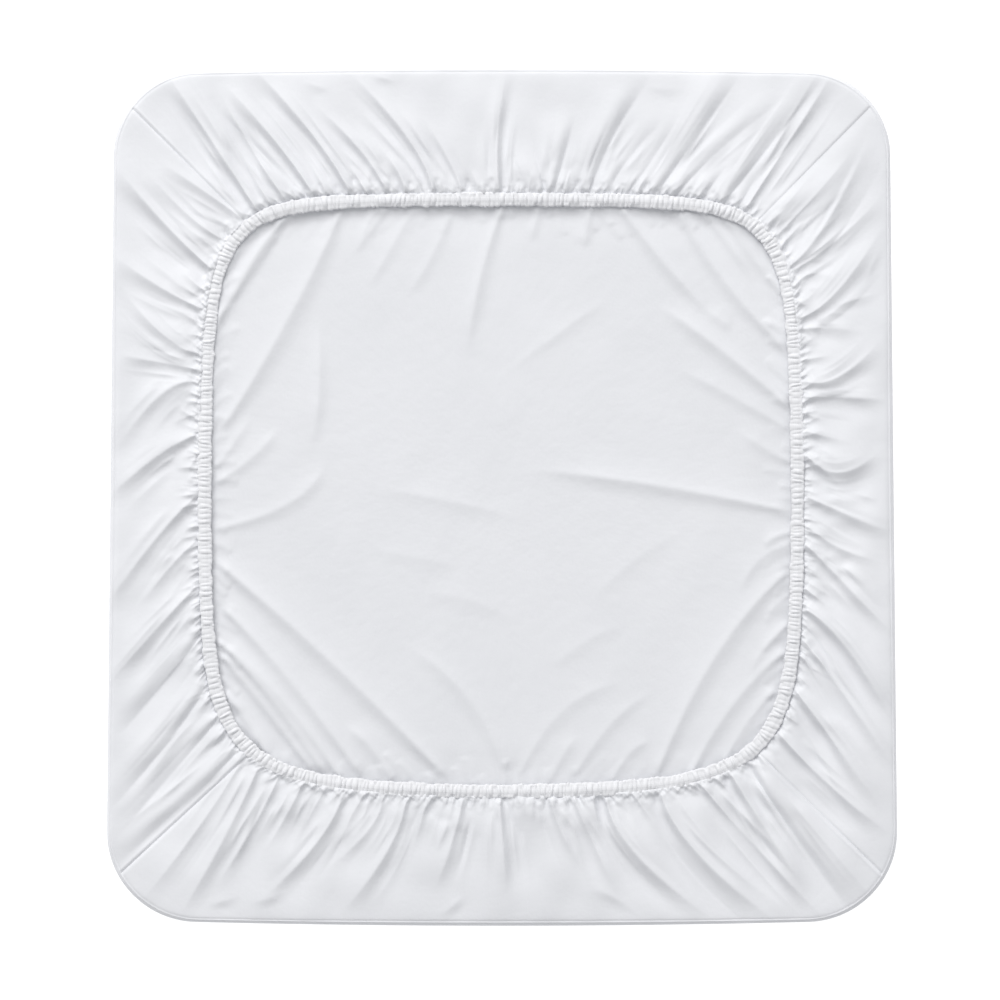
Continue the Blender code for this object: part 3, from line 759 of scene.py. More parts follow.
# Little hollows between the gathers of the head side
HEAD_POCKETS = (
    # at_cm, off_cm
    (-46.0, 1.9), (-42.6, 2.6), (-38.6, 2.0), (-34.9, 3.6), (-30.5, 1.5), (-26.3, 1.7), (-21.6, 2.3),
    (-15.2, 3.0), (-8.0, 2.6), (-2.4, 2.8), (4.0, 2.6), (9.8, 2.3), (13.4, 1.6), (17.8, 2.4),
    (23.4, 2.0), (28.4, 1.8), (34.2, 2.3), (38.7, 1.7), (44.1, 1.9), (49.5, 2.0), (54.0, 1.8),
)

PANEL_HALF = (0.655, 0.640)  # how far the top panel shows through the mouth to the side and along

# Creases of the top panel that show through the mouth; a ridge stands on each
PANEL_CREASES = (
    # x0_cm, y0_cm, xm_cm, ym_cm, x1_cm, y1_cm, high_mm, wide_mm
    (-37.8, 65.7, -48.6, 41.5, -64.8, 16.4, 5.6, 26.0),
    (-51.4, 63.8, -58.6, 53.9, -65.4, 42.2, 4.2, 18.0),
    (0.2, 66.6, -4.5, 49.2, -7.5, 32.6, 3.2, 20.0),
    (-12.2, 64.7, -16.4, 54.6, -22.7, 46.0, 1.8, 18.0),
    (-21.1, 66.1, -25.8, 57.0, -31.4, 48.3, 1.8, 17.0),
    (28.6, 66.3, 37.3, 54.2, 50.4, 40.8, 3.0, 19.0),
    (42.0, 65.7, 51.0, 50.4, 65.2, 35.6, 3.2, 19.0),
    (35.6, 45.3, 49.2, 34.6, 65.9, 21.8, 5.4, 23.0),
    (39.9, 30.5, 52.3, 23.5, 65.9, 16.4, 2.4, 18.0),
    (4.2, 6.3, 34.0, 1.9, 66.6, -3.6, 5.0, 23.0),
    (-32.8, 2.3, -12.2, -2.3, 5.0, -5.5, 1.8, 26.0),
    (-52.1, 17.1, -56.3, 10.1, -65.2, 4.2, 2.8, 18.0),
    (-40.8, 10.6, -47.6, -1.2, -66.0, -7.3, 2.8, 20.0),
    (-66.0, -16.6, -41.0, -39.6, -14.3, -65.0, 5.0, 25.0),
    (-64.7, -27.2, -49.7, -44.6, -34.2, -64.3, 3.4, 20.0),
    (-63.8, -36.8, -53.9, -48.8, -43.1, -63.3, 3.2, 18.0),
    (-23.5, -34.5, -9.4, -47.4, -0.5, -62.6, 1.9, 24.0),
    (66.4, -18.9, 51.0, -38.3, 37.0, -65.0, 5.2, 25.0),
    (65.6, -37.6, 55.0, -49.2, 45.0, -64.6, 3.8, 20.0),
    (30.0, -43.6, 15.9, -50.2, 6.1, -63.3, 1.8, 22.0),
    (36.0, -45.5, 26.5, -53.5, 18.5, -64.0, 2.2, 18.0),
    (-56.3, 63.3, -60.4, 59.1, -63.3, 54.6, 2.2, 12.0),
    (-28.6, 66.8, -30.9, 63.8, -32.1, 60.5, 1.8, 12.0),
    (8.9, 66.8, 8.4, 64.0, 7.7, 61.7, 1.6, 12.0),
    (21.1, 66.8, 20.6, 62.5, 19.5, 58.2, 1.7, 14.0),
    (52.3, 64.7, 58.2, 55.8, 64.0, 48.8, 1.8, 15.0),
    (54.6, 15.9, 60.5, 11.3, 65.9, 8.9, 1.9, 15.0),
    (-64.3, -47.4, -59.1, -54.4, -53.2, -63.3, 2.4, 14.0),
    (62.8, -46.9, 58.2, -53.2, 53.5, -60.3, 2.6, 15.0),
    (18.3, -55.6, 15.2, -60.3, 12.4, -65.0, 1.8, 14.0),
    (66.4, -8.7, 64.5, -9.4, 62.8, -10.3, 1.8, 9.0),
    (66.4, -12.2, 60.5, -15.7, 55.8, -23.9, 2.2, 16.0),
    (-66.1, -34.9, -52.8, -47.4, -38.7, -65.4, 2.6, 16.0),
    (-37.3, -53.7, -32.0, -58.5, -27.0, -65.0, 1.9, 16.0),
    (-0.5, 27.7, 15.2, 38.7, 25.3, 46.4, 1.3, 18.0),
    (66.0, -31.0, 62.0, -36.0, 58.0, -42.0, 2.2, 14.0),
    (35.4, -57.5, 31.0, -60.0, 27.0, -65.4, 2.2, 15.0),
    (47.1, 44.6, 50.5, 41.0, 54.2, 38.7, 1.6, 16.0),
    (-66.0, 41.0, -60.5, 49.0, -53.5, 60.0, 2.0, 15.0),
    (-65.5, 8.5, -62.5, 12.0, -58.0, 19.5, 2.2, 14.0),
    (-33.0, -12.0, -20.0, -15.5, -9.0, -17.0, 1.2, 26.0),
    (-20.0, -23.0, -8.0, -25.5, 4.0, -30.0, 1.2, 26.0),
    (44.0, -8.0, 33.0, -15.0, 20.0, -26.0, 1.1, 26.0),
    (30.0, -30.0, 20.0, -35.0, 11.0, -41.5, 1.1, 24.0),
    (-43.0, 44.0, -41.8, 26.0, -44.4, 10.6, 2.0, 18.0),
    (-64.6, -38.9, -57.8, -47.6, -45.0, -63.6, 2.8, 13.0),
    (-47.8, 66.8, -53.9, 60.5, -62.4, 47.0, 2.4, 14.0),
    (-27.9, 66.0, -30.5, 61.5, -35.2, 56.3, 2.0, 15.0),
    (47.4, 66.0, 52.5, 59.0, 59.0, 50.0, 2.0, 13.0),
)


@dataclass(frozen=True)
class Finish:
    """What every finish has in common."""

    name: str
    colour: Colour
    roughness: float
    gloss: float

    def started(self) -> tuple[Material, bpy.types.Node]:
        """Starts the material with the numbers that every finish has.

        Returns:
            The material and its shader.
        """
        material = bpy.data.materials.new(self.name)
        material.use_nodes = True
        shader = material.node_tree.nodes["Principled BSDF"]
        shader.inputs["Base Color"].default_value = (*self.colour, 1.0)
        shader.inputs["Roughness"].default_value = self.roughness
        shader.inputs["Specular IOR Level"].default_value = self.gloss
        return material, shader


def link(tree: Tree, source: Socket, target: Socket) -> None:
    """Joins two sockets."""
    tree.links.new(source, target)


def sum_of(tree: Tree, first: Socket, second: Socket, share: float) -> Socket:
    """Adds a share of one value to another.

    Args:
        tree: The nodes that the sum is one of.
        first: The value that is added to.
        second: The value that a share is taken of.
        share: The share.

    Returns:
        The sum, as a socket.
    """
    node = tree.nodes.new("ShaderNodeMath")
    node.operation = "MULTIPLY_ADD"
    link(tree, second, node.inputs[0])
    node.inputs[1].default_value = share
    link(tree, first, node.inputs[2])
    return node.outputs[0]


def new_group(name: str, output: str, kind: str = "NodeSocketFloat",
              inputs: tuple[str, ...] = ()) -> tuple[Tree, bpy.types.Node]:
    """An empty shader group.

    Args:
        name: The group's name.
        output: The name of what it gives.
        kind: The kind of socket of its output and its inputs.
        inputs: The names of what it takes.

    Returns:
        The group and its output node.
    """
    group = bpy.data.node_groups.new(name, "ShaderNodeTree")
    group.interface.new_socket(output, in_out="OUTPUT", socket_type=kind)
    for taken in inputs:
        group.interface.new_socket(taken, in_out="INPUT", socket_type=kind)
    return group, group.nodes.new("NodeGroupOutput")


def object_place(group: Tree) -> Socket:
    """The place on the object, in metres, as a socket."""
    return group.nodes.new("ShaderNodeTexCoord").outputs["Object"]


def noise_in(group: Tree, place: Socket, scale: float, detail: float) -> Socket:
    """A noise.

    Args:
        group: The nodes that it is one of.
        place: Where it is read.
        scale: How many of its patches go on a metre.
        detail: How many finer noises are laid over it.

    Returns:
        Its value from 0 to 1, as a socket.
    """
    noise = group.nodes.new("ShaderNodeTexNoise")
    noise.inputs["Scale"].default_value = scale
    noise.inputs["Detail"].default_value = detail
    link(group, place, noise.inputs["Vector"])
    return noise.outputs["Fac"]


def waves_in(group: Tree, place: Socket, direction: str, scale: float, uneven: Point) -> Socket:
    """Even waves, such as threads lying side by side.

    Args:
        group: The nodes that they are one of.
        place: Where they are read.
        direction: The axis that they follow each other along.
        scale: How close together they are.
        uneven: How far and how finely they are bent.

    Returns:
        Their height from 0 to 1, as a socket.
    """
    waves = group.nodes.new("ShaderNodeTexWave")
    waves.bands_direction = direction
    for name, value in (("Scale", scale), ("Distortion", uneven[0]), ("Detail", uneven[1])):
        waves.inputs[name].default_value = value
    link(group, place, waves.inputs["Vector"])
    return waves.outputs["Fac"]


def weave_group() -> Tree:
    """Builds the weave: threads that pass over and under each other, with thicker ones here and there.

    Returns:
        The group, which gives a height.
    """
    group, out = new_group("plain_weave", "Height")
    place = object_place(group)
    warp, weft = (waves_in(group, place, direction, 620.0, (0.6, 1.0)) for direction in ("X", "Y"))
    slub = noise_in(group, place, 260.0, 2.0)
    link(group, sum_of(group, sum_of(group, warp, weft, 1.0), slub, 0.6), out.inputs["Height"])
    return group


def rumple_group() -> Tree:
    """Builds the small unevenness that washed cotton keeps.

    Returns:
        The group, which gives a height.
    """
    group, out = new_group("washed_rumple", "Height")
    place = object_place(group)
    broad = noise_in(group, place, 14.0, 3.0)
    fine = noise_in(group, place, 55.0, 4.0)
    link(group, sum_of(group, broad, fine, 0.35), out.inputs["Height"])
    return group


def elastic_group() -> Tree:
    """Builds the fine cords that run along the elastic band, crossed by its puckers.

    Returns:
        The group, which gives a height.
    """
    group, out = new_group("elastic_cords", "Height")
    coordinates = group.nodes.new("ShaderNodeUVMap")
    coordinates.uv_map = BAND_RUN
    run = coordinates.outputs["UV"]
    cords = waves_in(group, run, "Y", 115.0, (0.8, 2.0))
    pucker = noise_in(group, run, 240.0, 3.0)
    link(group, sum_of(group, cords, pucker, 0.7), out.inputs["Height"])
    return group


def wear_group() -> Tree:
    """Builds a slow, faint unevenness of colour, as washing leaves it.

    Returns:
        The group, which takes a worn and a fresh colour and gives one between them.
    """
    group, out = new_group("wash_wear", "Colour", "NodeSocketColor", ("Worn", "Fresh"))
    given = group.nodes.new("NodeGroupInput")
    spread = group.nodes.new("ShaderNodeMapRange")
    spread.inputs["From Min"].default_value = 0.3
    spread.inputs["From Max"].default_value = 0.7
    link(group, noise_in(group, object_place(group), 3.2, 5.0), spread.inputs["Value"])
    mix = group.nodes.new("ShaderNodeMixRGB")
    link(group, spread.outputs["Result"], mix.inputs["Fac"])
    link(group, given.outputs["Worn"], mix.inputs["Color1"])
    link(group, given.outputs["Fresh"], mix.inputs["Color2"])
    link(group, mix.outputs["Color"], out.inputs["Colour"])
    return group


def bump_from(tree: Tree, group: Tree, distance: float, strength: float,
              under: Socket | None = None) -> Socket:
    """A normal bumped by a group's height.

    Args:
        tree: The material's nodes.
        group: The group whose height is used.
        distance: The height of the bump, in metres.
        strength: Its strength, from 0 to 1.
        under: The normal that this one is laid on, if any.

    Returns:
        The bumped normal, as a socket.
    """
    height = tree.nodes.new("ShaderNodeGroup")
    height.node_tree = group
    bump = tree.nodes.new("ShaderNodeBump")
    bump.inputs["Distance"].default_value = distance
    bump.inputs["Strength"].default_value = strength
    link(tree, height.outputs["Height"], bump.inputs["Height"])
    if under is not None:
        link(tree, under, bump.inputs["Normal"])
    return bump.outputs["Normal"]


def worn_colour(tree: Tree, wear: Tree, worn: Colour, fresh: Colour) -> Socket:
    """Places the wear group in a material, with the material's own colours.

    Args:
        tree: The material's nodes.
        wear: The wear group.
        worn: The colour where the cloth is most worn.
        fresh: The colour where it is least so.

    Returns:
        The colour, as a socket.
    """
    group = tree.nodes.new("ShaderNodeGroup")
    group.node_tree = wear
    group.inputs["Worn"].default_value = (*worn, 1.0)
    group.inputs["Fresh"].default_value = (*fresh, 1.0)
    return group.outputs["Colour"]


@dataclass(frozen=True)
class ClothFinish(Finish):
    """Washed plain-weave cotton."""

    worn: Colour = (0.775, 0.785, 0.815)
    weave_high: float = 0.00006
    rumple_high: float = 0.0035
    sheen: float = 0.15
    sheen_roughness: float = 0.5

    def made(self, wear: Tree) -> Material:
        """Makes the material.

        Args:
            wear: The group that makes its colour uneven.

        Returns:
            The material.
        """
        material, shader = self.started()
        tree = material.node_tree
        shader.inputs["Sheen Weight"].default_value = self.sheen
        shader.inputs["Sheen Roughness"].default_value = self.sheen_roughness
        link(tree, worn_colour(tree, wear, self.worn, self.colour), shader.inputs["Base Color"])
        soft = bump_from(tree, rumple_group(), self.rumple_high, 0.5)
        link(tree, bump_from(tree, weave_group(), self.weave_high, 0.5, soft), shader.inputs["Normal"])
        return material


@dataclass(frozen=True)
class ElasticFinish(Finish):
    """A ribbed elastic binding."""

    worn: Colour = (0.78, 0.785, 0.81)
    cord_high: float = 0.0003

    def made(self, wear: Tree) -> Material:
        """Makes the material.

        Args:
            wear: The group that makes its colour uneven.

        Returns:
            The material.
        """
        material, shader = self.started()
        tree = material.node_tree
        link(tree, worn_colour(tree, wear, self.worn, self.colour), shader.inputs["Base Color"])
        link(tree, bump_from(tree, elastic_group(), self.cord_high, 0.6), shader.inputs["Normal"])
        return material


@dataclass(frozen=True)
class FloorFinish(Finish):
    """A matt white sweep, lit a little from within so that it stays pale."""

    glow: float = 0.82

    def made(self) -> Material:
        """Makes the material.

        Returns:
            The material.
        """
        material, shader = self.started()
        shader.inputs["Emission Color"].default_value = (1.0, 1.0, 1.0, 1.0)
        shader.inputs["Emission Strength"].default_value = self.glow
        return material


COTTON = ClothFinish("white_cotton", (0.80, 0.808, 0.838), roughness=0.8, gloss=0.2)
ELASTIC = ElasticFinish("white_elastic_rib", (0.815, 0.82, 0.845), roughness=0.65, gloss=0.3)
PALE_FLOOR = FloorFinish("pale_floor", (0.50, 0.50, 0.50), roughness=0.9, gloss=0.0)


def squares_of(index: Array) -> Array:
    """The four points of each square of a grid, from the numbers of its points."""
    return np.stack([index[:-1, :-1], index[:-1, 1:], index[1:, 1:], index[1:, :-1]], axis=-1)


def grid_object(name: str, points: Array, closed: bool = False,
                runs: tuple[Array, Array] | None = None) -> Thing:
    """A smooth mesh over a grid of points.

    Args:
        name: The object's name.
        points: Rows, columns and coordinates.
        closed: Whether the last row meets the first, and the last column the first.
        runs: The two coordinates of a UV map, each with a value for every point, if it needs one.

    Returns:
        The object, linked to the scene.
    """
    rows, columns = points.shape[:2]
    index = np.arange(rows * columns).reshape(rows, columns)
    if closed:
        index = np.vstack([index, index[:1]])
        index = np.hstack([index, index[:, :1]])
    return faces_object(name, points.reshape(-1, 3), squares_of(index).reshape(-1, 4), runs)


def faces_object(name: str, points: Array, quads: Array,
                 runs: tuple[Array, Array] | None = None) -> Thing:
    """A smooth mesh of squares.

    Args:
        name: The object's name.
        points: One row of coordinates for each point.
        quads: The four points of each square.
        runs: The two coordinates of a UV map, if it needs one.

    Returns:
        The object, linked to the scene.
    """
    mesh = bpy.data.meshes.new(name)
    mesh.vertices.add(len(points))
    mesh.vertices.foreach_set("co", points.astype(np.float32).ravel())
    mesh.loops.add(quads.size)
    mesh.loops.foreach_set("vertex_index", quads.astype(np.int32).ravel())
    mesh.polygons.add(len(quads))
    mesh.polygons.foreach_set("loop_start", np.arange(0, quads.size, 4, dtype=np.int32))
    if runs is not None:
        layer = mesh.uv_layers.new(name=BAND_RUN)
        flat = np.column_stack([run.ravel() for run in runs])[quads.ravel()]
        layer.data.foreach_set("uv", flat.astype(np.float32).ravel())
    mesh.update(calc_edges=True)
    mesh.validate()
    mesh.shade_smooth()
    thing = bpy.data.objects.new(name, mesh)
    bpy.context.scene.collection.objects.link(thing)
    return thing


@dataclass
class Piece:
    """A piece of the sheet: the surface that stands for one solid of the frame."""

    name: str
    node: str
    slot: str
    material: Material
    flat: tuple[float, float]
    held: str
    thing: Thing | None = None

    def dress(self) -> None:
        """Gives the piece its finish, hangs it on the root body and hides the solid that it stands
        for.
        """
        self.thing.data.materials.append(self.material)
        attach(self.thing, "root")
        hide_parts(self.node)

    def report(self) -> None:
        """Says what was built."""
        LOG.info("%s: %d faces", self.name, len(self.thing.data.polygons))


@dataclass(frozen=True)
class GatherRow:
    """One size of short creases where a side panel is drawn into the band, each a little different."""

    UNDER: ClassVar[float] = 0.004  # they start this far inside the band's outer edge
    FAN: ClassVar[float] = 0.9  # how much they lean away from the panel's middle
    ENDS: ClassVar[Point] = (0.008, 0.992)  # the share of the panel that they fill

    apart: Point  # least and most room of one, as a share of the panel
    long: Point  # least and most length, in metres
    half: Point  # least and most half width, in millimetres
    steep: Point  # least and most slope of the face

    def gathers(self, random: np.random.Generator, side: Side) -> list[Fold]:
        """Makes the creases of one panel.

        Args:
            random: Where their unevenness comes from.
            side: The panel.

        Returns:
            The creases, which fan out as the panel does.
        """
        first, last = (CORNER_SEAMS[name] for name in SEAMS_OF[side])
        shares, at = [], self.ENDS[0]
        while at < self.ENDS[1]:
            shares.append(at)
            at += random.uniform(*self.apart)
        band = stretch_between(BAND_EDGE, first[1], last[1], np.array(shares))
        rim = stretch_between(RIM, first[0], last[0], np.array(shares))
        found = []
        for share, start, far in zip(shares, band, rim):
            line = (far - start) / np.linalg.norm(far - start)
            beside = np.array([line[1], -line[0]])
            length = random.uniform(*self.long)
            lean = (share - 0.5) * self.FAN + random.uniform(-0.22, 0.22)
            end = start + (line + beside * lean) * length
            middle = (start + end) / 2 + beside * length * random.uniform(-0.08, 0.08)
            wide = random.uniform(*self.half) * MM
            found.append(Fold(
                tuple(start - line * self.UNDER), tuple(middle), tuple(end),
                random.uniform(*self.steep), wide, wide * random.uniform(1.2, 1.8), Break.RIDGE,
                opening=0.1, fade=0.2, ending=0.35, steps=3,
            ))
        return found


GATHER_ROWS = (
    GatherRow(apart=(0.0060, 0.0130), long=(0.012, 0.030), half=(1.8, 2.8), steep=(0.50, 1.00)),
    GatherRow(apart=(0.0130, 0.0270), long=(0.030, 0.062), half=(3.2, 5.4), steep=(0.35, 0.70)),
)


@dataclass(frozen=True)
class Swell:
    """A smooth ridge, or where its height is negative a groove, that keeps beside a seam."""

    at: float  # how far from the seam it is
    wide: float
    high: float

    def lift(self, away: Array) -> Array:
        """How far it lifts the cloth at each distance from the seam."""
        return self.high * np.exp(-(((away - self.at) / self.wide) ** 2))


RIM_RIDGE = Swell(8.5 * MM, 1.4 * MM, 1.5 * MM)  # the top panel's seam, as the cloth over it shows it
RIM_GROOVE = Swell(12.0 * MM, 1.6 * MM, -1.1 * MM)
CORNER_LIP = Swell(7.0 * MM, 3.4 * MM, 1.1 * MM)


@dataclass
class SidePanel(Piece):
    """One side panel: it turns up over the soft rim and is gathered into the band."""

    side: Side = Side.HEAD
    seed: int = 1
    first_lip: float = 1.0  # how much of a ridge runs beside the seam where the panel starts
    columns: int = 820
    rim_rows: int = 24
    rows: int = 70
    limit: float = 0.015  # folds never lift or sink the cloth by more than this
    seam_clear: float = 0.016  # the panel's own gathers fade out within this of its seams
    crowding: float = 0.055  # how much closer the columns are beside the corner seams
    ease: float = 0.97  # the rows are a little closer together towards the band
    roll: float = 0.012  # folds come in over this height of the roll, from as high up as that
    lowest: float = 0.011  # and never bring the cloth below this
    groove_deep: float = 0.0032
    groove_wide: float = 0.0032
    groove_soft: float = 0.0110  # a corner groove without a lip is this much wider
    groove_power: float = 1.5
    rim_section: tuple[tuple[float, float], ...] = (
        # in from the rim and height, in millimetres
        (1.4, 1.6), (0.15, 5.0), (0.0, 9.5), (2.4, 15.6), (8.4, 20.8), (17.0, 24.0),
    )
    section: tuple[tuple[float, float], ...] = (
        # share of the way to the band, height in millimetres
        (0.12, 25.5), (0.25, 26.5), (0.38, 27.3), (0.52, 28.2), (0.66, 28.9), (0.78, 29.3),
        (0.88, 29.2), (0.95, 27.8), (1.0, 22.8),
    )
    ripple: Ripple = Ripple(3.4 * MM, (
        (4.1, 1.7, 0.3), (-2.2, 5.3, 1.9), (7.4, -3.1, 4.0), (3.3, 8.2, 5.2), (-9.1, 2.4, 2.6)))

    def build(self) -> None:
        """Makes the surface."""
        place, height = self.base()
        x, y = place[..., 0], place[..., 1]
        from_first, from_last = (np.linalg.norm(place - seam, axis=-1)
                                 for seam in (place[:, :1], place[:, -1:]))
        drop, own = np.zeros(x.shape), np.zeros(x.shape)
        for fold in SHARED_FOLDS:
            drop += fold.sinks(x, y)
        for fold in self.own_folds():
            own += fold.sinks(x, y)
        drop += own * smooth(np.minimum(from_first, from_last) / self.seam_clear)
        free = smooth((height - self.roll) / self.roll)
        change = self.limit * np.tanh((self.ripple.lift(x, y) - drop) / self.limit)
        height = height + change * free + self.seams(place, from_first, from_last)
        height = np.maximum(height, self.lowest * free)
        self.thing = grid_object(self.name, np.dstack([x, y, height]))

    def base(self) -> tuple[Array, Array]:
        """Works out the panel before its folds.

        Returns:
            The place and the height of each of its points.
        """
        even = np.linspace(0.0, 1.0, self.columns)
        shares = even - self.crowding * np.sin(2 * math.pi * even) / (2 * math.pi)
        first, last = (CORNER_SEAMS[name] for name in SEAMS_OF[self.side])
        rim = stretch_between(RIM, first[0], last[0], shares)
        band = stretch_between(TUCKED_EDGE, first[1], last[1], shares)
        reach = np.linalg.norm(band - rim, axis=1)
        inward = (band - rim) / reach[:, None]
        away = [np.full(len(shares), inset * MM) for inset, _ in self.rim_section]
        away += [part * reach for part, _ in self.section]
        high = np.array([tall * MM for _, tall in self.rim_section + self.section])
        last_rim = len(self.rim_section) - 1
        places = np.concatenate([
            np.linspace(0.0, last_rim, self.rim_rows, endpoint=False),
            last_rim + (len(high) - 1 - last_rim) * np.linspace(0.0, 1.0, self.rows) ** self.ease,
        ])
        place = rim[None] + inward[None] * spline(np.array(away), places)[..., None]
        return place, np.repeat(spline(high, places)[:, None], len(shares), axis=1)

    def own_folds(self) -> list[Fold | Petal | Pocket]:
        """Makes what this panel shares with no other.

        Returns:
            Its small gathers, and the head side's pockets or the foot side's petals.
        """
        random = np.random.default_rng(self.seed)
        found = [fold for row in GATHER_ROWS for fold in row.gathers(random, self.side)]
        if self.side is Side.HEAD:
            found += [Pocket(at * CM, off * CM) for at, off in HEAD_POCKETS]
        if self.side is Side.FOOT:
            found += [Petal(at * CM, half * CM, out * CM, high * MM)
                      for at, half, out, high in FOOT_PETALS]
        return found

    def seams(self, place: Array, from_first: Array, from_last: Array) -> Array:
        """The fine ridge that shows a seam inside the rim, and the corner seams' grooves.

        Args:
            place: Each point's X and Y.
            from_first: How far each point is from the seam where the panel starts.
            from_last: How far it is from the seam where the panel ends.

        Returns:
            How far the seams lift each point.
        """
        edge = self.rim_section[0][0] * MM
        away = np.linalg.norm(place - place[:1], axis=-1) + edge
        inside = smooth((away - 6 * MM) / (8 * MM))
        wide = self.groove_wide + self.groove_soft * (1.0 - self.first_lip)
        dip = np.maximum(*(np.exp(-((off / reach) ** self.groove_power))
                           for off, reach in ((from_first, wide), (from_last, self.groove_wide))))
        lip = self.first_lip * CORNER_LIP.lift(from_first)
        return (RIM_RIDGE.lift(away) + RIM_GROOVE.lift(away)
                + (lip - self.groove_deep * dip) * inside)

    def declare(self) -> None:
        """Does nothing."""


@dataclass(frozen=True)
class Crease(Arc):
    """A soft ridge of the top panel, gentle towards the window and steeper beyond it."""

    high: float
    wide: float
    gain: float = 2.2  # the table's heights are those of the solid, and the cloth's are sharper
    evening: float = 0.8  # the low creases are raised more than the high ones
    under: float = 0.025
    ending: float = 0.40  # share of its run over which an end that lies free runs out
    held: float = 0.07  # and over which one at the band does
    reach: float = 5.0  # the crease is felt this many widths away
    slim: Point = (0.26, 0.34)  # its half width at its ends, and what its middle adds, in widths

    def lifts(self, x: Array, y: Array) -> Array:
        """How far the crease lifts the cloth.

        Args:
            x: The points' X, of any shape.
            y: Their Y, of the same shape.

        Returns:
            The lift at each point.
        """
        lift = np.zeros(x.shape)
        reach = self.reach * self.wide
        near, signed, share = self.measure(x, y, reach)
        half = self.wide * (self.slim[0] + self.slim[1] * np.sin(math.pi * share))
        opening, ending = (self.held if self.at_band(end) else self.ending
                           for end in (self.start, self.end))
        swell = smooth(share / opening) * smooth((1.0 - share) / ending) * bounded(signed, reach)
        high = self.gain * self.drawn * (self.high / MM) ** self.evening * MM
        lift[near] = high * swell * (1.0 - FLOOR_FACET.at(signed / half)) / 2
        return lift

    def tucked(self) -> "Crease":
        """Carries the ends that lie at the band on under it.

        Returns:
            The longer crease.
        """
        spots = [np.array(spot) for spot in (self.start, self.middle, self.end)]
        for here in (0, 2):
            if self.at_band(spots[here]):
                away = spots[here] - spots[1]
                spots[here] = spots[here] + away / np.linalg.norm(away) * self.under
        return replace(self, start=tuple(spots[0]), end=tuple(spots[2]))

    @staticmethod
    def at_band(end: Point) -> bool:
        """Whether an end of the crease lies at the band, or nearly so."""
        return max(abs(end[0]) / PANEL_HALF[0], abs(end[1]) / PANEL_HALF[1]) > 0.93


